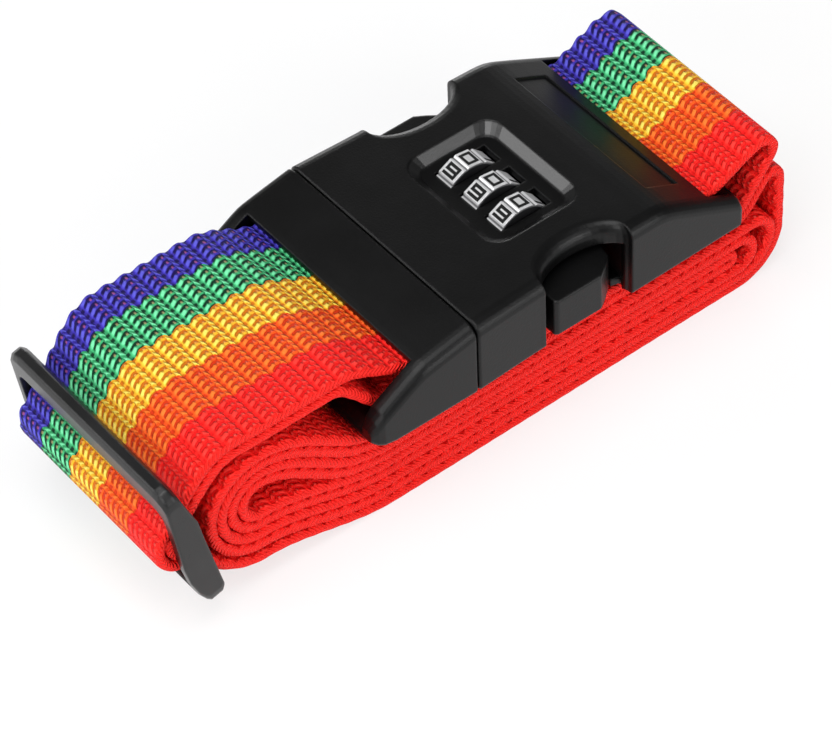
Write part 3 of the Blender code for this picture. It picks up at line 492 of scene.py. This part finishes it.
@dataclass(frozen=True)
class PlatedDial:
    """Pale plated facets, with painted shade in the grooves (grey) and on the sides (near black), told apart
    by their distance from the axle.
    """

    name: str = "plated_dial"
    pale: Colour = (0.74, 0.74, 0.75)
    # The groove and side colours are painted shade.
    groove: Colour = (0.13, 0.13, 0.135)
    side: Colour = (0.012, 0.012, 0.013)
    axle: Point = ((DIAL_AXLE[0] - MIDDLE_X) * MM, DIAL_AXLE[1] * MM)
    rim: float = (DIAL_APOTHEM - 0.06) * MM
    stretch: Place = (2400.0, 60.0, 2400.0)

    def build(self) -> bpy.types.Material:
        """Make the material.

        Returns:
            The material.
        """
        graph = Graph(self.name)
        x, _, z = graph.axes(graph.place())
        x, z = x - self.axle[0], z - self.axle[1]
        away = (x * x + z * z).math("SQRT")
        scratch = graph.noise(1.0, 2.0, graph.stretched(self.stretch))
        dim = tuple(0.86 * value for value in self.pale)
        facet = graph.mix(scratch.smooth(0.3, 0.7), dim, self.pale)
        # Painted shade: grey in the grooves and near black on the sides of the dial.
        low = graph.mix(away.smooth(self.rim - 0.0005, self.rim - 0.0003), self.side, self.groove)
        plated = away.smooth(self.rim - 0.0001, self.rim)
        graph.set("Base Color", graph.mix(plated, low, facet))
        graph.set("Metallic", plated * 0.4)
        graph.set("Roughness", scratch * 0.1 + 0.3)
        graph.bump(scratch, 0.00001, 0.4, graph.soft_edges(0.0002))
        return graph.material


class Finish(Enum):
    """The finishes of the strap."""

    WEBBING = WovenStripes()
    SHELL = MouldedPlastic("black_shell")
    COVER = WindowShell("black_cover")
    SLIDER = MouldedPlastic("black_slider", (0.01, 0.01, 0.0102), 0.3, 0.36, 0.0008, 0.00002)
    INNER = MouldedPlastic("dark_inner", (0.02, 0.02, 0.022), 0.5, 0.3, 0.0003)
    INK = MouldedPlastic("number_ink", (0.006, 0.006, 0.006), 0.5, 0.2, 0.0001, 0.00001)
    STEEL = DrawnMetal("drawn_steel")
    DIAL = PlatedDial()


class Paints:
    """Keeps one material for each finish."""

    def __init__(self) -> None:
        """Start with none made."""
        self.made: dict[Finish, bpy.types.Material] = {}

    def get(self, finish: Finish) -> bpy.types.Material:
        """Make a finish once and hand it out again after that.

        Args:
            finish: which finish.

        Returns:
            Its material.
        """
        if finish not in self.made:
            self.made[finish] = finish.value.build()
        return self.made[finish]

    def dress(self, node: str, finish: Finish) -> None:
        """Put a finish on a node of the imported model.

        Args:
            node: name of the node.
            finish: which finish.
        """
        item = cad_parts[node]
        item.data.materials.clear()
        item.data.materials.append(self.get(finish))
        LOG.info("dressed %s as %s", node, finish.name.lower())


def add_mesh(name: str, points: np.ndarray, quads: np.ndarray, material: bpy.types.Material,
             smooth: bool = True) -> bpy.types.Object:
    """Make a mesh object at the origin from arrays.

    Args:
        name: name of the piece.
        points: array of points in metres.
        quads: array of four point numbers for each face.
        material: finish of the piece.
        smooth: whether its faces are shaded smoothly.

    Returns:
        The new object.
    """
    mesh = bpy.data.meshes.new(name)
    mesh.vertices.add(len(points))
    mesh.vertices.foreach_set("co", np.ascontiguousarray(points, np.float32).ravel())
    mesh.loops.add(quads.size)
    mesh.loops.foreach_set("vertex_index", np.ascontiguousarray(quads, np.int32).ravel())
    mesh.polygons.add(len(quads))
    mesh.polygons.foreach_set("loop_start", np.arange(0, quads.size, 4, dtype=np.int32))
    mesh.polygons.foreach_set("use_smooth", np.full(len(quads), smooth))
    mesh.update(calc_edges=True)
    mesh.validate()
    mesh.materials.append(material)
    item = bpy.data.objects.new(name, mesh)
    bpy.context.scene.collection.objects.link(item)
    return item


@dataclass
class Route:
    """Middle line of the webbing in the x z plane, in millimetres from the seam of the buckle.

    It is the same route as the solids of the webbing, made of arcs, straights and eased curves.
    """

    thick: float = 2.0
    pitch: float = 2.6
    eye: Point = (-49.0, 22.9)
    eye_radius: float = 4.4
    ramp_start: float = -18.0
    lift_start: float = -27.0
    floor_rise: float = 6.0
    right_end: float = 84.4
    big_radius: float = 11.0
    bulge_radius: float = 2.4
    bulge_z: float = 25.2
    inner_turn_x: float = 72.0
    fold_x: float = 69.5
    loop_centre: Point = (77.8, 35.05)
    loop_radius: float = 3.3
    loop_lift: float = 14.0
    return_radius: float = 4.0
    return_angle: float = 38.0
    lock_end: float = 70.0
    loop_cut: float = 64.0
    slot_start: float = 61.5
    anchor: Point = (56.5, 29.8)
    anchor_radius: float = 2.5
    anchor_end: float = 300.0
    slider: Point = (-65.9, 22.2)
    end_radius: float = 3.5
    slider_entry: float = 256.0
    slider_exit: float = 46.0
    end_wrap: float = 165.0
    run_z: float = 42.3
    run_left: float = -52.5
    run_turn: float = 11.0
    run_drop: Point = (-29.0, -12.0)
    under_drop: Point = (-31.0, -17.0)
    bar: Point = (-7.0, 32.2)
    bar_radius: float = 3.55
    hug: Point = (262.0, 222.0)
    parts: list[tuple[np.ndarray, np.ndarray]] = field(default_factory=list)

    @staticmethod
    def on(centre: Point, radius: float, angle: float) -> Point:
        """Point of a circle at an angle in degrees."""
        a = math.radians(angle)
        return (centre[0] + radius * math.cos(a), centre[1] + radius * math.sin(a))

    @staticmethod
    def cubic(t: np.ndarray, p0: np.ndarray, p1: np.ndarray, d0: np.ndarray,
              d1: np.ndarray) -> tuple[np.ndarray, np.ndarray]:
        """Follow cubic curves between two points with given headings.

        Args:
            t: shares of the way, as a column.
            p0: first point, or one for each share.
            p1: last point, or one for each share.
            d0: heading at the first point, as long as its pull.
            d1: heading at the last point, as long as its pull.

        Returns:
            Points and unit headings.
        """
        points = (2 * t ** 3 - 3 * t ** 2 + 1) * p0 + (t ** 3 - 2 * t ** 2 + t) * d0
        points = points + (-2 * t ** 3 + 3 * t ** 2) * p1 + (t ** 3 - t ** 2) * d1
        heading = (6 * t ** 2 - 6 * t) * (p0 - p1) + (3 * t ** 2 - 4 * t + 1) * d0
        heading = heading + (3 * t ** 2 - 2 * t) * d1
        return points, heading / np.linalg.norm(heading, axis=1, keepdims=True)

    def arc(self, centre: Point, radius: float, start: float, end: float) -> None:
        """Add part of a circle.

        Args:
            centre: middle of the circle.
            radius: its radius.
            start: first angle in degrees.
            end: last angle in degrees.
        """
        a = np.radians(np.linspace(start, end, max(4, int(abs(end - start) / 6.0) + 1)))
        way = 1.0 if end > start else -1.0
        points = np.stack([centre[0] + radius * np.cos(a), centre[1] + radius * np.sin(a)], 1)
        self.parts.append((points, np.stack([-np.sin(a), np.cos(a)], 1) * way))

    def bend(self, start_heading: float, end: Point, end_heading: float, pull: float = 1.0) -> None:
        """Add a cubic curve from the last point to another.

        Args:
            start_heading: heading at the last point, in degrees.
            end: the other point.
            end_heading: heading there, in degrees.
            pull: length of both headings as a share of the distance.
        """
        p0, p1 = self.parts[-1][0][-1], np.array(end)
        size = np.linalg.norm(p1 - p0) * pull
        h0, h1 = math.radians(start_heading), math.radians(end_heading)
        d0 = np.array([math.cos(h0), math.sin(h0)]) * size
        d1 = np.array([math.cos(h1), math.sin(h1)]) * size
        self.parts.append(self.cubic(np.linspace(0.0, 1.0, 16)[:, None], p0, p1, d0, d1))

    def straight(self, end: Point) -> None:
        """Add a straight piece from the last point.

        Args:
            end: where it ends.
        """
        points = np.stack([self.parts[-1][0][-1], np.array(end)])
        heading = (points[1] - points[0]) / np.linalg.norm(points[1] - points[0])
        self.parts.append((points, np.stack([heading, heading])))

    def drop(self, end: Point) -> None:
        """Add an eased change of height from the last point.

        Args:
            end: where it ends.
        """
        start = self.parts[-1][0][-1]
        t = np.linspace(0.0, 1.0, 20)
        x = start[0] + (end[0] - start[0]) * t
        z = start[1] + (end[1] - start[1]) * self.ease(t)
        heading = np.stack([np.full_like(t, end[0] - start[0]), (end[1] - start[1]) * 6 * t * (1 - t)], 1)
        self.parts.append((np.stack([x, z], 1), heading / np.linalg.norm(heading, axis=1, keepdims=True)))

    @staticmethod
    def ease(t: np.ndarray) -> np.ndarray:
        """Ease from 0 to 1."""
        t = np.clip(t, 0.0, 1.0)
        return t * t * (3.0 - 2.0 * t)

    def flat(self, layer: int) -> float:
        """Height of a layer in the flat stack, counted from the floor."""
        return self.thick / 2 + layer * self.pitch

    def turn(self, layer: int) -> float:
        """Radius of the left turn of a layer."""
        return self.eye_radius + (layer - 5 if layer >= 5 else 4 - layer) * self.pitch

    def guide(self, x: np.ndarray, group: int) -> np.ndarray:
        """Height of the guiding layer of a group: 0 on the floor, 4 below the eye, 5 above it.

        Args:
            x: places along the strap.
            group: number of the guiding layer.

        Returns:
            Heights at those places.
        """
        rise = self.ease((self.ramp_start - x) / (self.ramp_start - self.eye[0]))
        if group == 0:
            return self.flat(0) + self.floor_rise * rise
        low_rise = self.eye[1] - self.eye_radius - self.flat(4)
        if group == 4:
            return self.flat(4) + low_rise * rise
        lift = self.ease((self.lift_start - x) / (self.lift_start - self.eye[0]))
        high_rise = self.eye[1] + self.eye_radius - self.flat(5) - low_rise
        return self.flat(5) + low_rise * rise + high_rise * lift

    def layer(self, number: int, right: float, to_left: bool) -> None:
        """Add one layer of the winding, a constant distance from its guide.

        Args:
            number: layer counted from the floor.
            right: where its flat stretch ends.
            to_left: whether it is followed towards the slider.
        """
        group = 0 if number == 0 else (5 if number >= 5 else 4)
        x = np.append(np.linspace(self.eye[0], self.ramp_start, 40), right)
        slope = (self.guide(x + 0.05, group) - self.guide(x - 0.05, group)) / 0.1
        slope[[0, -1]] = 0.0
        heading = np.stack([np.ones_like(slope), slope], 1)
        heading /= np.linalg.norm(heading, axis=1, keepdims=True)
        away = (number - group) * self.pitch
        points = np.stack([x - heading[:, 1] * away, self.guide(x, group) + heading[:, 0] * away], 1)
        self.parts.append((points[::-1], -heading[::-1]) if to_left else (points, heading))

    def lay_lock_loop(self) -> None:
        """From the pin in the lock, out of its slot and back under it."""
        top = self.anchor[1] + self.anchor_radius
        self.arc(self.anchor, self.anchor_radius, self.anchor_end, 90.0)
        self.straight((self.slot_start, top))
        up = 90.0 + self.loop_lift
        self.bend(0.0, self.on(self.loop_centre, self.loop_radius, up), self.loop_lift, 0.9)
        self.arc(self.loop_centre, self.loop_radius, up, -self.return_angle)
        centre = self.under_centre()
        down = 270.0 - self.return_angle
        self.bend(down, self.on(centre, self.return_radius, -self.return_angle), down)
        self.arc(centre, self.return_radius, -self.return_angle, -90.0)

    def under_centre(self) -> Point:
        """Centre of the bend that brings the webbing under the lock."""
        return (self.lock_end, self.flat(8) + self.return_radius)

    def lay_coil(self) -> None:
        """The nine layers of the flat winding."""
        self.layer(8, self.lock_end, True)
        self.arc(self.eye, self.turn(8), 90.0, 270.0)
        big = (self.right_end - self.thick / 2 - self.big_radius, self.thick / 2 + self.big_radius)
        inner = self.big_radius - self.pitch
        small = self.flat(6) - big[1]
        self.layer(1, big[0], False)
        self.arc(big, inner, -90.0, 0.0)
        self.arc((big[0] + inner - small, big[1]), small, 0.0, 90.0)
        self.layer(6, big[0] + inner - small, True)
        self.arc(self.eye, self.turn(6), 90.0, 270.0)
        fold = (self.flat(3) + self.flat(4)) / 2
        self.layer(3, self.fold_x, False)
        self.arc((self.fold_x, fold), self.pitch / 2, -90.0, 90.0)
        self.layer(4, self.fold_x, True)
        self.arc(self.eye, self.turn(4), 270.0, 90.0)
        self.layer(5, self.inner_turn_x, False)
        self.arc((self.inner_turn_x, fold), 1.5 * self.pitch, 90.0, -90.0)
        self.layer(2, self.inner_turn_x, True)
        self.arc(self.eye, self.turn(2), 270.0, 90.0)
        self.layer(7, self.lock_end, False)
        self.arc(self.under_centre(), self.return_radius + self.pitch, -90.0, -self.return_angle)
        bulge = (self.right_end - self.thick / 2 - self.bulge_radius, self.bulge_z)
        over = 180.0 - self.return_angle
        self.bend(over - 90.0, self.on(bulge, self.bulge_radius, over), over - 90.0)
        self.arc(bulge, self.bulge_radius, over, 0.0)
        self.arc(big, self.big_radius, 0.0, -90.0)
        self.layer(0, big[0], True)

    def lay_run(self) -> None:
        """From the winding through the slider, over to the plug and back to the slider bar."""
        radius = self.eye[1] - self.parts[-1][0][-1][1]
        start, end = self.hug
        self.bend(180.0, self.on(self.eye, radius, start), start - 90.0)
        self.arc(self.eye, radius, start, end)
        strap = self.end_radius + self.pitch
        entry, leave = self.slider_entry, 90.0 + self.slider_exit
        self.bend(end - 90.0, self.on(self.slider, strap, entry), entry - 90.0, 1.1)
        self.arc(self.slider, strap, entry, leave)
        centre = (self.run_left, self.run_z - self.run_turn)
        self.bend(self.slider_exit, self.on(centre, self.run_turn, leave), self.slider_exit)
        self.arc(centre, self.run_turn, leave, 90.0)
        self.straight((self.run_drop[0], self.run_z))
        self.drop((self.run_drop[1], self.bar[1] + self.bar_radius))
        self.arc(self.bar, self.bar_radius, 90.0, -90.0)
        self.straight((self.under_drop[1], self.bar[1] - self.bar_radius))
        self.drop((self.under_drop[0], self.run_z - self.pitch))
        self.straight((self.run_left, self.run_z - self.pitch))
        self.arc(centre, self.run_turn - self.pitch, 90.0, leave)
        self.bend(leave + 90.0, self.on(self.slider, self.end_radius, leave), leave + 90.0)
        self.arc(self.slider, self.end_radius, leave, leave + self.end_wrap)

    def lay(self) -> tuple[np.ndarray, np.ndarray]:
        """Lay the whole route.

        Returns:
            Points and unit headings along it.
        """
        self.parts.clear()
        self.lay_lock_loop()
        self.lay_coil()
        self.lay_run()
        points = np.concatenate([p for p, _ in self.parts])
        heading = np.concatenate([h for _, h in self.parts])
        keep = np.concatenate([[True], np.linalg.norm(np.diff(points, axis=0), axis=1) > 0.02])
        return points[keep], heading[keep]

    def even(self, step: float) -> tuple[np.ndarray, np.ndarray, np.ndarray]:
        """Follow the route in even steps, on cubic curves between its points.

        Args:
            step: distance between samples in millimetres.

        Returns:
            Lengths along the route, points, and unit headings.
        """
        points, heading = self.lay()
        chord = np.linalg.norm(np.diff(points, axis=0), axis=1)
        bent = np.arccos(np.clip(np.sum(heading[1:] * heading[:-1], axis=1), -1.0, 1.0))
        length = np.concatenate([[0.0], np.cumsum(chord * (1.0 + bent ** 2 / 24.0))])
        s = np.linspace(0.0, length[-1], int(length[-1] / step) + 1)
        k = np.clip(np.searchsorted(length, s, side="right") - 1, 0, len(chord) - 1)
        span = (length[k + 1] - length[k])[:, None]
        t = ((s - length[k])[:, None]) / span
        ahead = heading[k + 1] * span
        return s, *self.cubic(t, points[k], points[k + 1], heading[k] * span, ahead)


class Stretch(Enum):
    """The lengths of webbing that are made as pieces, with the node each stands for."""

    LOCK_LOOP = "webbing_lock_loop"
    COIL = "webbing_coil"
    RUN = "webbing_run"


@dataclass
class Webbing:
    """The woven strip: a rounded flat section carried along the route."""

    route: Route = field(default_factory=Route)
    width: float = 49.6
    thick: float = 2.4
    rib_height: float = 0.06
    sway: float = 0.3
    sway_from: float = -5.0
    sway_over: float = 30.0
    wander: float = 0.22
    wander_waves: Point = (37.0, 91.0)
    settle: float = 60.0
    swing: Point = (0.05, -0.08)
    swing_from: float = -50.0
    swing_over: float = 16.0
    step: float = 0.45
    face_points: int = 13
    edge_points: int = 5

    def section(self) -> tuple[np.ndarray, np.ndarray, np.ndarray]:
        """Closed section of the strip: flat faces joined by full, rounded edges.

        Returns:
            Across and through coordinates in millimetres, and the distance round the section
            that the weave follows.
        """
        half, round_off = self.width / 2, self.thick / 2
        flat = np.linspace(-(half - round_off), half - round_off, self.face_points)
        a = np.radians(np.linspace(-90.0, 90.0, self.edge_points + 2)[1:-1])
        edge_y = half - round_off + round_off * np.cos(a) ** 0.6
        edge_n = round_off * np.sign(a) * np.abs(np.sin(a)) ** 0.8
        arc = half - round_off + round_off * (math.pi / 2 - np.abs(a))
        y = np.concatenate([flat, edge_y, flat[::-1], -edge_y])
        n = np.concatenate([np.full_like(flat, -round_off), edge_n, np.full_like(flat, round_off), -edge_n])
        weave = np.concatenate([flat, arc, flat[::-1], -arc])
        return y, n, weave

    def build(self, paints: Paints) -> None:
        """Make the three lengths of webbing.

        A point is the route's point, moved along its normal by the section's through coordinate
        and the ribs, and along y by the section's across coordinate, the sway of each rib (which
        fades towards the red edge) and a slow wander inside the winding. Near the slider the strip
        leans with it.

        Args:
            paints: the finishes.
        """
        s, place, heading = self.route.even(self.step)
        x, z = place.T
        first = int(np.argmax((s > 40.0) & (x < self.route.loop_cut)))
        bottom = self.route.flat(0) + self.route.floor_rise
        last = int(np.argmax((s > 0.7 * s[-1]) & (x < self.route.eye[0]) & (np.abs(z - bottom) < 0.5)))
        loose = Route.ease((s - s[first]) / self.settle) * Route.ease((s[last] - s) / self.settle)
        short, long = self.wander_waves
        shift = self.wander * loose * (np.sin(s / short) + np.sin(s / long + 1.0))
        cuts = {Stretch.LOCK_LOOP: (0, first), Stretch.COIL: (first, last), Stretch.RUN: (last, len(s) - 1)}
        for stretch, (start, end) in cuts.items():
            pick = slice(start, end + 1)
            self.strip(stretch, s[pick], shift[pick], place[pick], heading[pick], paints)

    def strip(self, stretch: Stretch, s: np.ndarray, shift: np.ndarray, place: np.ndarray,
              heading: np.ndarray, paints: Paints) -> None:
        """Make one length of webbing with closed ends.

        Args:
            stretch: which length it is.
            s: distance along the whole strap in millimetres.
            shift: wander across the strap in millimetres.
            place: points of the route.
            heading: unit headings of the route.
            paints: the finishes.
        """
        y, n, weave = self.section()
        u = np.mod(s / RIB_PITCH, 1.0)
        wave = Route.ease((u - 0.05) / 0.63) - Route.ease((u - 0.72) / 0.28)
        ribs = 1.0 - self.rib_height * np.cos(2 * math.pi * u)[:, None] * 2.0 / self.thick
        through = n[None, :] * ribs
        px = place[:, :1] - heading[:, 1:] * through
        pz = place[:, 1:] + heading[:, :1] * through
        lean = np.clip((y - self.sway_from) / self.sway_over, 0.0, 1.0)[None, :]
        py = y[None, :] + shift[:, None] + self.sway * (2.0 * wave - 1.0)[:, None] * lean
        if stretch is Stretch.RUN:
            share = Route.ease((self.swing_from - px) / self.swing_over) * py
            px, pz = px + self.swing[0] * share, pz + self.swing[1] * share
        points = np.stack([px - MIDDLE_X, py, pz], 2).reshape(-1, 3) * MM
        rows, cols = len(s), len(y)
        r, c = np.meshgrid(np.arange(rows - 1), np.arange(cols), indexing="ij")
        after = (c + 1) % cols
        quads = np.stack([r * cols + c, r * cols + after, (r + 1) * cols + after, (r + 1) * cols + c], 2)
        quads = quads.reshape(-1, 4)[:, ::-1]
        item = add_mesh(stretch.value + "_cloth", points, quads, paints.get(Finish.WEBBING))
        self.map_weave(item, s, weave)
        self.close_ends(item, rows, cols)
        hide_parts(stretch.value)
        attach(item, "strap")
        float(s[-1] - s[0]) * MM
        LOG.info("made %s, %.0f mm long", item.name, s[-1] - s[0])

    def map_weave(self, item: bpy.types.Object, s: np.ndarray, weave: np.ndarray) -> None:
        """Give each corner its distance along and across the strip, in metres.

        Args:
            item: the piece.
            s: distances along the strap.
            weave: distances round the section.
        """
        mesh = item.data
        layer = mesh.uv_layers.new(name="weave")
        index = np.empty(len(mesh.loops), np.int32)
        mesh.loops.foreach_get("vertex_index", index)
        flat = np.stack([s[index // len(weave)], weave[index % len(weave)]], 1) * MM
        layer.data.foreach_set("uv", flat.astype(np.float32).ravel())

    @staticmethod
    def close_ends(item: bpy.types.Object, rows: int, cols: int) -> None:
        """Fill the two cut ends of a strip.

        Args:
            item: the piece.
            rows: number of sections.
            cols: points in a section.
        """
        work = bmesh.new()
        work.from_mesh(item.data)
        work.verts.ensure_lookup_table()
        first = [work.verts[k] for k in range(cols)]
        last = [work.verts[(rows - 1) * cols + k] for k in range(cols)]
        work.faces.new(first)
        work.faces.new(last[::-1])
        bmesh.ops.recalc_face_normals(work, faces=work.faces)
        work.to_mesh(item.data)
        work.free()


@dataclass
class DialNumbers:
    """The numbers on the facets of the dials, drawn with seven bars."""

    places_of: ClassVar[dict[str, tuple[tuple[int, int], tuple[int, int]]]] = {
        "a": ((0, 0), (0, 2)), "g": ((2, 2), (0, 2)), "d": ((4, 4), (0, 2)), "f": ((0, 2), (0, 0)),
        "b": ((0, 2), (2, 2)), "e": ((2, 4), (0, 0)), "c": ((2, 4), (2, 2))}
    walls: ClassVar[tuple[tuple[int, int, tuple[int, int], tuple[int, int]], ...]] = (
        (0, 1, (0, 1), (0, 0)), (2, 1, (1, 0), (1, 1)), (1, 0, (0, 0), (1, 0)), (1, 2, (1, 1), (0, 1)))

    places: int = 10
    phase: float = 8.0
    rows: tuple[float, ...] = (7.9, 0.0, -7.9)
    wide: float = 3.4
    tall: float = 2.85
    stroke: float = 0.68
    raised: float = 0.03
    depth: float = 0.02
    bars: tuple[str, ...] = ("abcdef", "bc", "abged", "abgcd", "fgbc",
                             "afgcd", "afgedc", "abc", "abcdefg", "abcdfg")

    def build(self, paints: Paints) -> None:
        """Make one piece of ten numbers for each dial.

        Args:
            paints: the finishes.
        """
        for k, y in enumerate(self.rows):
            item = self.ring(f"dial_{k + 1}_numbers", y, paints)
            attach(item, f"dial_{k + 1}")
            LOG.info("made %s", item.name)

    def outline(self, digit: int) -> tuple[np.ndarray, np.ndarray]:
        """Flat solid of one number made of bars.

        The bars fill cells of a grid of five rows and three columns. Every filled cell gets a top
        and a bottom, and a wall wherever the next cell is empty.

        Args:
            digit: the number.

        Returns:
            Its points in millimetres (across, up, out) and its faces.
        """
        cells = np.zeros((7, 5), bool)
        for bar in self.bars[digit]:
            rows, cols = self.places_of[bar]
            cells[rows[0] + 1:rows[1] + 2, cols[0] + 1:cols[1] + 2] = True
        half_x, half_y, stroke = self.wide / 2, self.tall / 2, self.stroke
        xs = np.array([-half_x, stroke - half_x, half_x - stroke, half_x])
        ys = np.array([half_y, half_y - stroke, stroke / 2, -stroke / 2, stroke - half_y, -half_y])
        level, row, col = np.meshgrid([-self.depth, self.raised], ys, xs, indexing="ij")
        points = np.stack([col, row, level], 3).reshape(-1, 3)
        number = np.arange(level.size).reshape(level.shape)
        faces = []
        for r, c in np.argwhere(cells) - 1:
            low, top = (number[k, r:r + 2, c:c + 2] for k in (0, 1))
            faces.append((top[1, 0], top[1, 1], top[0, 1], top[0, 0]))
            faces.append((low[0, 0], low[0, 1], low[1, 1], low[1, 0]))
            for down, over, first, last in self.walls:
                if not cells[r + down, c + over]:
                    faces.append((low[first], top[first], top[last], low[last]))
        used, back = np.unique(np.array(faces), return_inverse=True)
        return points[used], back.reshape(-1, 4)

    def ring(self, name: str, y: float, paints: Paints) -> bpy.types.Object:
        """Lay the ten numbers on the facets of one dial, reading along y.

        Args:
            name: name of the piece.
            y: middle of the dial.
            paints: the finishes.

        Returns:
            The piece.
        """
        points, quads, count = [], [], 0
        for digit in range(self.places):
            shape, sides = self.outline(digit)
            a = math.radians(90.0 - self.phase - 360.0 / self.places * digit)
            out = np.array([math.cos(a), math.sin(a)])
            way = np.array([-math.sin(a), math.cos(a)])
            lift = DIAL_APOTHEM + shape[:, 2]
            flat = out[None, :] * lift[:, None] - way[None, :] * shape[:, 1:2]
            px = DIAL_AXLE[0] + flat[:, 0] - MIDDLE_X
            pz = DIAL_AXLE[1] + flat[:, 1]
            points.append(np.stack([px, y - shape[:, 0], pz], 1) * MM)
            quads.append(sides + count)
            count += len(shape)
        return add_mesh(name, np.concatenate(points), np.concatenate(quads), paints.get(Finish.INK), False)


@dataclass
class Buckle:
    """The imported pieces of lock, plug and slider."""

    shells: tuple[str, ...] = ("lock_base", "plug_body", "release_arm_front", "release_arm_back")
    inner: tuple[str, ...] = ("dial_carrier", "reset_button",
                              "dial_sleeve_1", "dial_sleeve_2", "dial_sleeve_3")
    steel: tuple[str, ...] = ("dial_axle", "detent_leaf", "lock_bolt", "bolt_spring", "webbing_pin",
                              "cover_screw_1", "cover_screw_2", "cover_screw_3", "cover_screw_4")
    dials: tuple[str, ...] = ("dial_1", "dial_2", "dial_3")

    def dress(self, paints: Paints) -> None:
        """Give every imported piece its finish.

        Args:
            paints: the finishes.
        """
        groups = ((self.shells, Finish.SHELL), (self.inner, Finish.INNER), (self.steel, Finish.STEEL),
                  (self.dials, Finish.DIAL), (("slider",), Finish.SLIDER), (("lock_cover",), Finish.COVER))
        for names, finish in groups:
            for name in names:
                paints.dress(name, finish)


@dataclass(frozen=True)
class Lamp:
    """A square area lamp: its place and aim in metres, its side in metres and its power in watts."""

    name: str
    place: Place
    aim: Place
    size: float
    power: float

    def build(self) -> None:
        """Hang the lamp."""
        data = bpy.data.lights.new(self.name, "AREA")
        data.size = self.size
        data.energy = self.power
        item = bpy.data.objects.new(self.name, data)
        item.location = self.place
        item.rotation_euler = (Vector(self.aim) - Vector(self.place)).to_track_quat("-Z", "Y").to_euler()
        bpy.context.scene.collection.objects.link(item)


@dataclass
class Studio:
    """Floor, lights and camera."""

    azimuth: float = 36.76
    elevation: float = 46.76
    roll: float = -2.46
    focal: float = 4974.5
    distance: float = 0.95094
    target: Place = (-0.020645, -0.03058, 0.04152)
    image_width: float = 832.0
    sensor: float = 36.0
    clip: float = 0.01
    floor_half: float = 3.0
    floor_glow: float = 0.7
    sky: float = 0.15
    lamps: tuple[Lamp, ...] = (
        Lamp("lamp_top", (-0.25, -0.1, 0.9), (0.0, 0.0, 0.02), 0.7, 6.8),
        Lamp("lamp_left", (-0.9, -0.5, 0.5), (-0.02, 0.0, 0.02), 0.6, 4.8),
        Lamp("lamp_front", (0.35, -0.95, 0.45), (0.0, 0.0, 0.02), 0.6, 5.6),
        Lamp("lamp_back", (-0.75, 0.55, 0.4), (0.02, 0.0, 0.04), 0.5, 3.2),
        Lamp("lamp_rim", (0.6, 0.9, 0.17), (0.02, 0.0, 0.04), 0.4, 2.6),
    )

    def build(self) -> None:
        """Make everything round the object."""
        self.set_camera()
        self.lay_floor()
        self.hang_lights()
        bpy.context.scene.view_settings.view_transform = "Standard"

    def set_camera(self) -> None:
        """Put the camera where the photograph was taken from."""
        a, e, r = (math.radians(v) for v in (self.azimuth, self.elevation, self.roll))
        ahead = np.array([math.sin(a) * math.cos(e), math.cos(a) * math.cos(e), -math.sin(e)])
        right = np.array([math.cos(a), -math.sin(a), 0.0])
        up = np.cross(right, ahead)
        turned = math.cos(r) * right + math.sin(r) * up
        raised = -math.sin(r) * right + math.cos(r) * up
        place = np.array(self.target) - self.distance * ahead
        data = bpy.data.cameras.new("camera")
        data.sensor_fit = "HORIZONTAL"
        data.sensor_width = self.sensor
        data.lens = self.sensor * self.focal / self.image_width
        data.clip_start = self.clip
        item = bpy.data.objects.new("camera", data)
        matrix = np.eye(4)
        matrix[:3, 0], matrix[:3, 1], matrix[:3, 2], matrix[:3, 3] = turned, raised, -ahead, place
        item.matrix_world = Matrix([list(row) for row in matrix])
        bpy.context.scene.collection.objects.link(item)
        bpy.context.scene.camera = item

    def lay_floor(self) -> None:
        """Lay a wide pale floor that shows white to the camera and keeps a soft shadow."""
        corners = ((-1, -1, 0), (1, -1, 0), (1, 1, 0), (-1, 1, 0))
        points = np.array(corners, float) * self.floor_half
        graph = Graph("pale_floor")
        graph.set("Base Color", (0.92, 0.92, 0.92, 1.0))
        graph.set("Roughness", 0.9)
        graph.set("Specular IOR Level", 0.1)
        path = graph.node("ShaderNodeLightPath").outputs
        seen = Num(graph, path["Is Camera Ray"]) + Num(graph, path["Is Glossy Ray"])
        seen = (seen + Num(graph, path["Is Transmission Ray"])).math("MINIMUM", 1.0) * self.floor_glow
        glow = graph.node("ShaderNodeEmission", {}, {"Color": (1.0, 1.0, 1.0, 1.0), "Strength": 1.0})
        shaders = [seen, graph.shader.outputs["BSDF"], glow.outputs["Emission"]]
        blend = graph.node("ShaderNodeMixShader", {}, shaders)
        graph.feed(graph.output.inputs["Surface"], blend.outputs["Shader"])
        floor = add_mesh("floor", points, np.array([[0, 1, 2, 3]]), graph.material, False)

    def hang_lights(self) -> None:
        """Light the sky weakly and hang the lamps."""
        world = bpy.data.worlds.new("studio")
        bpy.context.scene.world = world
        world.use_nodes = True
        sky = world.node_tree.nodes["Background"]
        sky.inputs["Color"].default_value = (1.0, 1.0, 1.0, 1.0)
        sky.inputs["Strength"].default_value = self.sky
        for lamp in self.lamps:
            lamp.build()


def main() -> None:
    """Build the strap and its surroundings."""
    logging.basicConfig(level=logging.INFO, format="%(name)s: %(message)s")
    paints = Paints()
    Studio().build()
    Webbing().build(paints)
    Buckle().dress(paints)
    DialNumbers().build(paints)


if __name__ == "__main__":
    main()
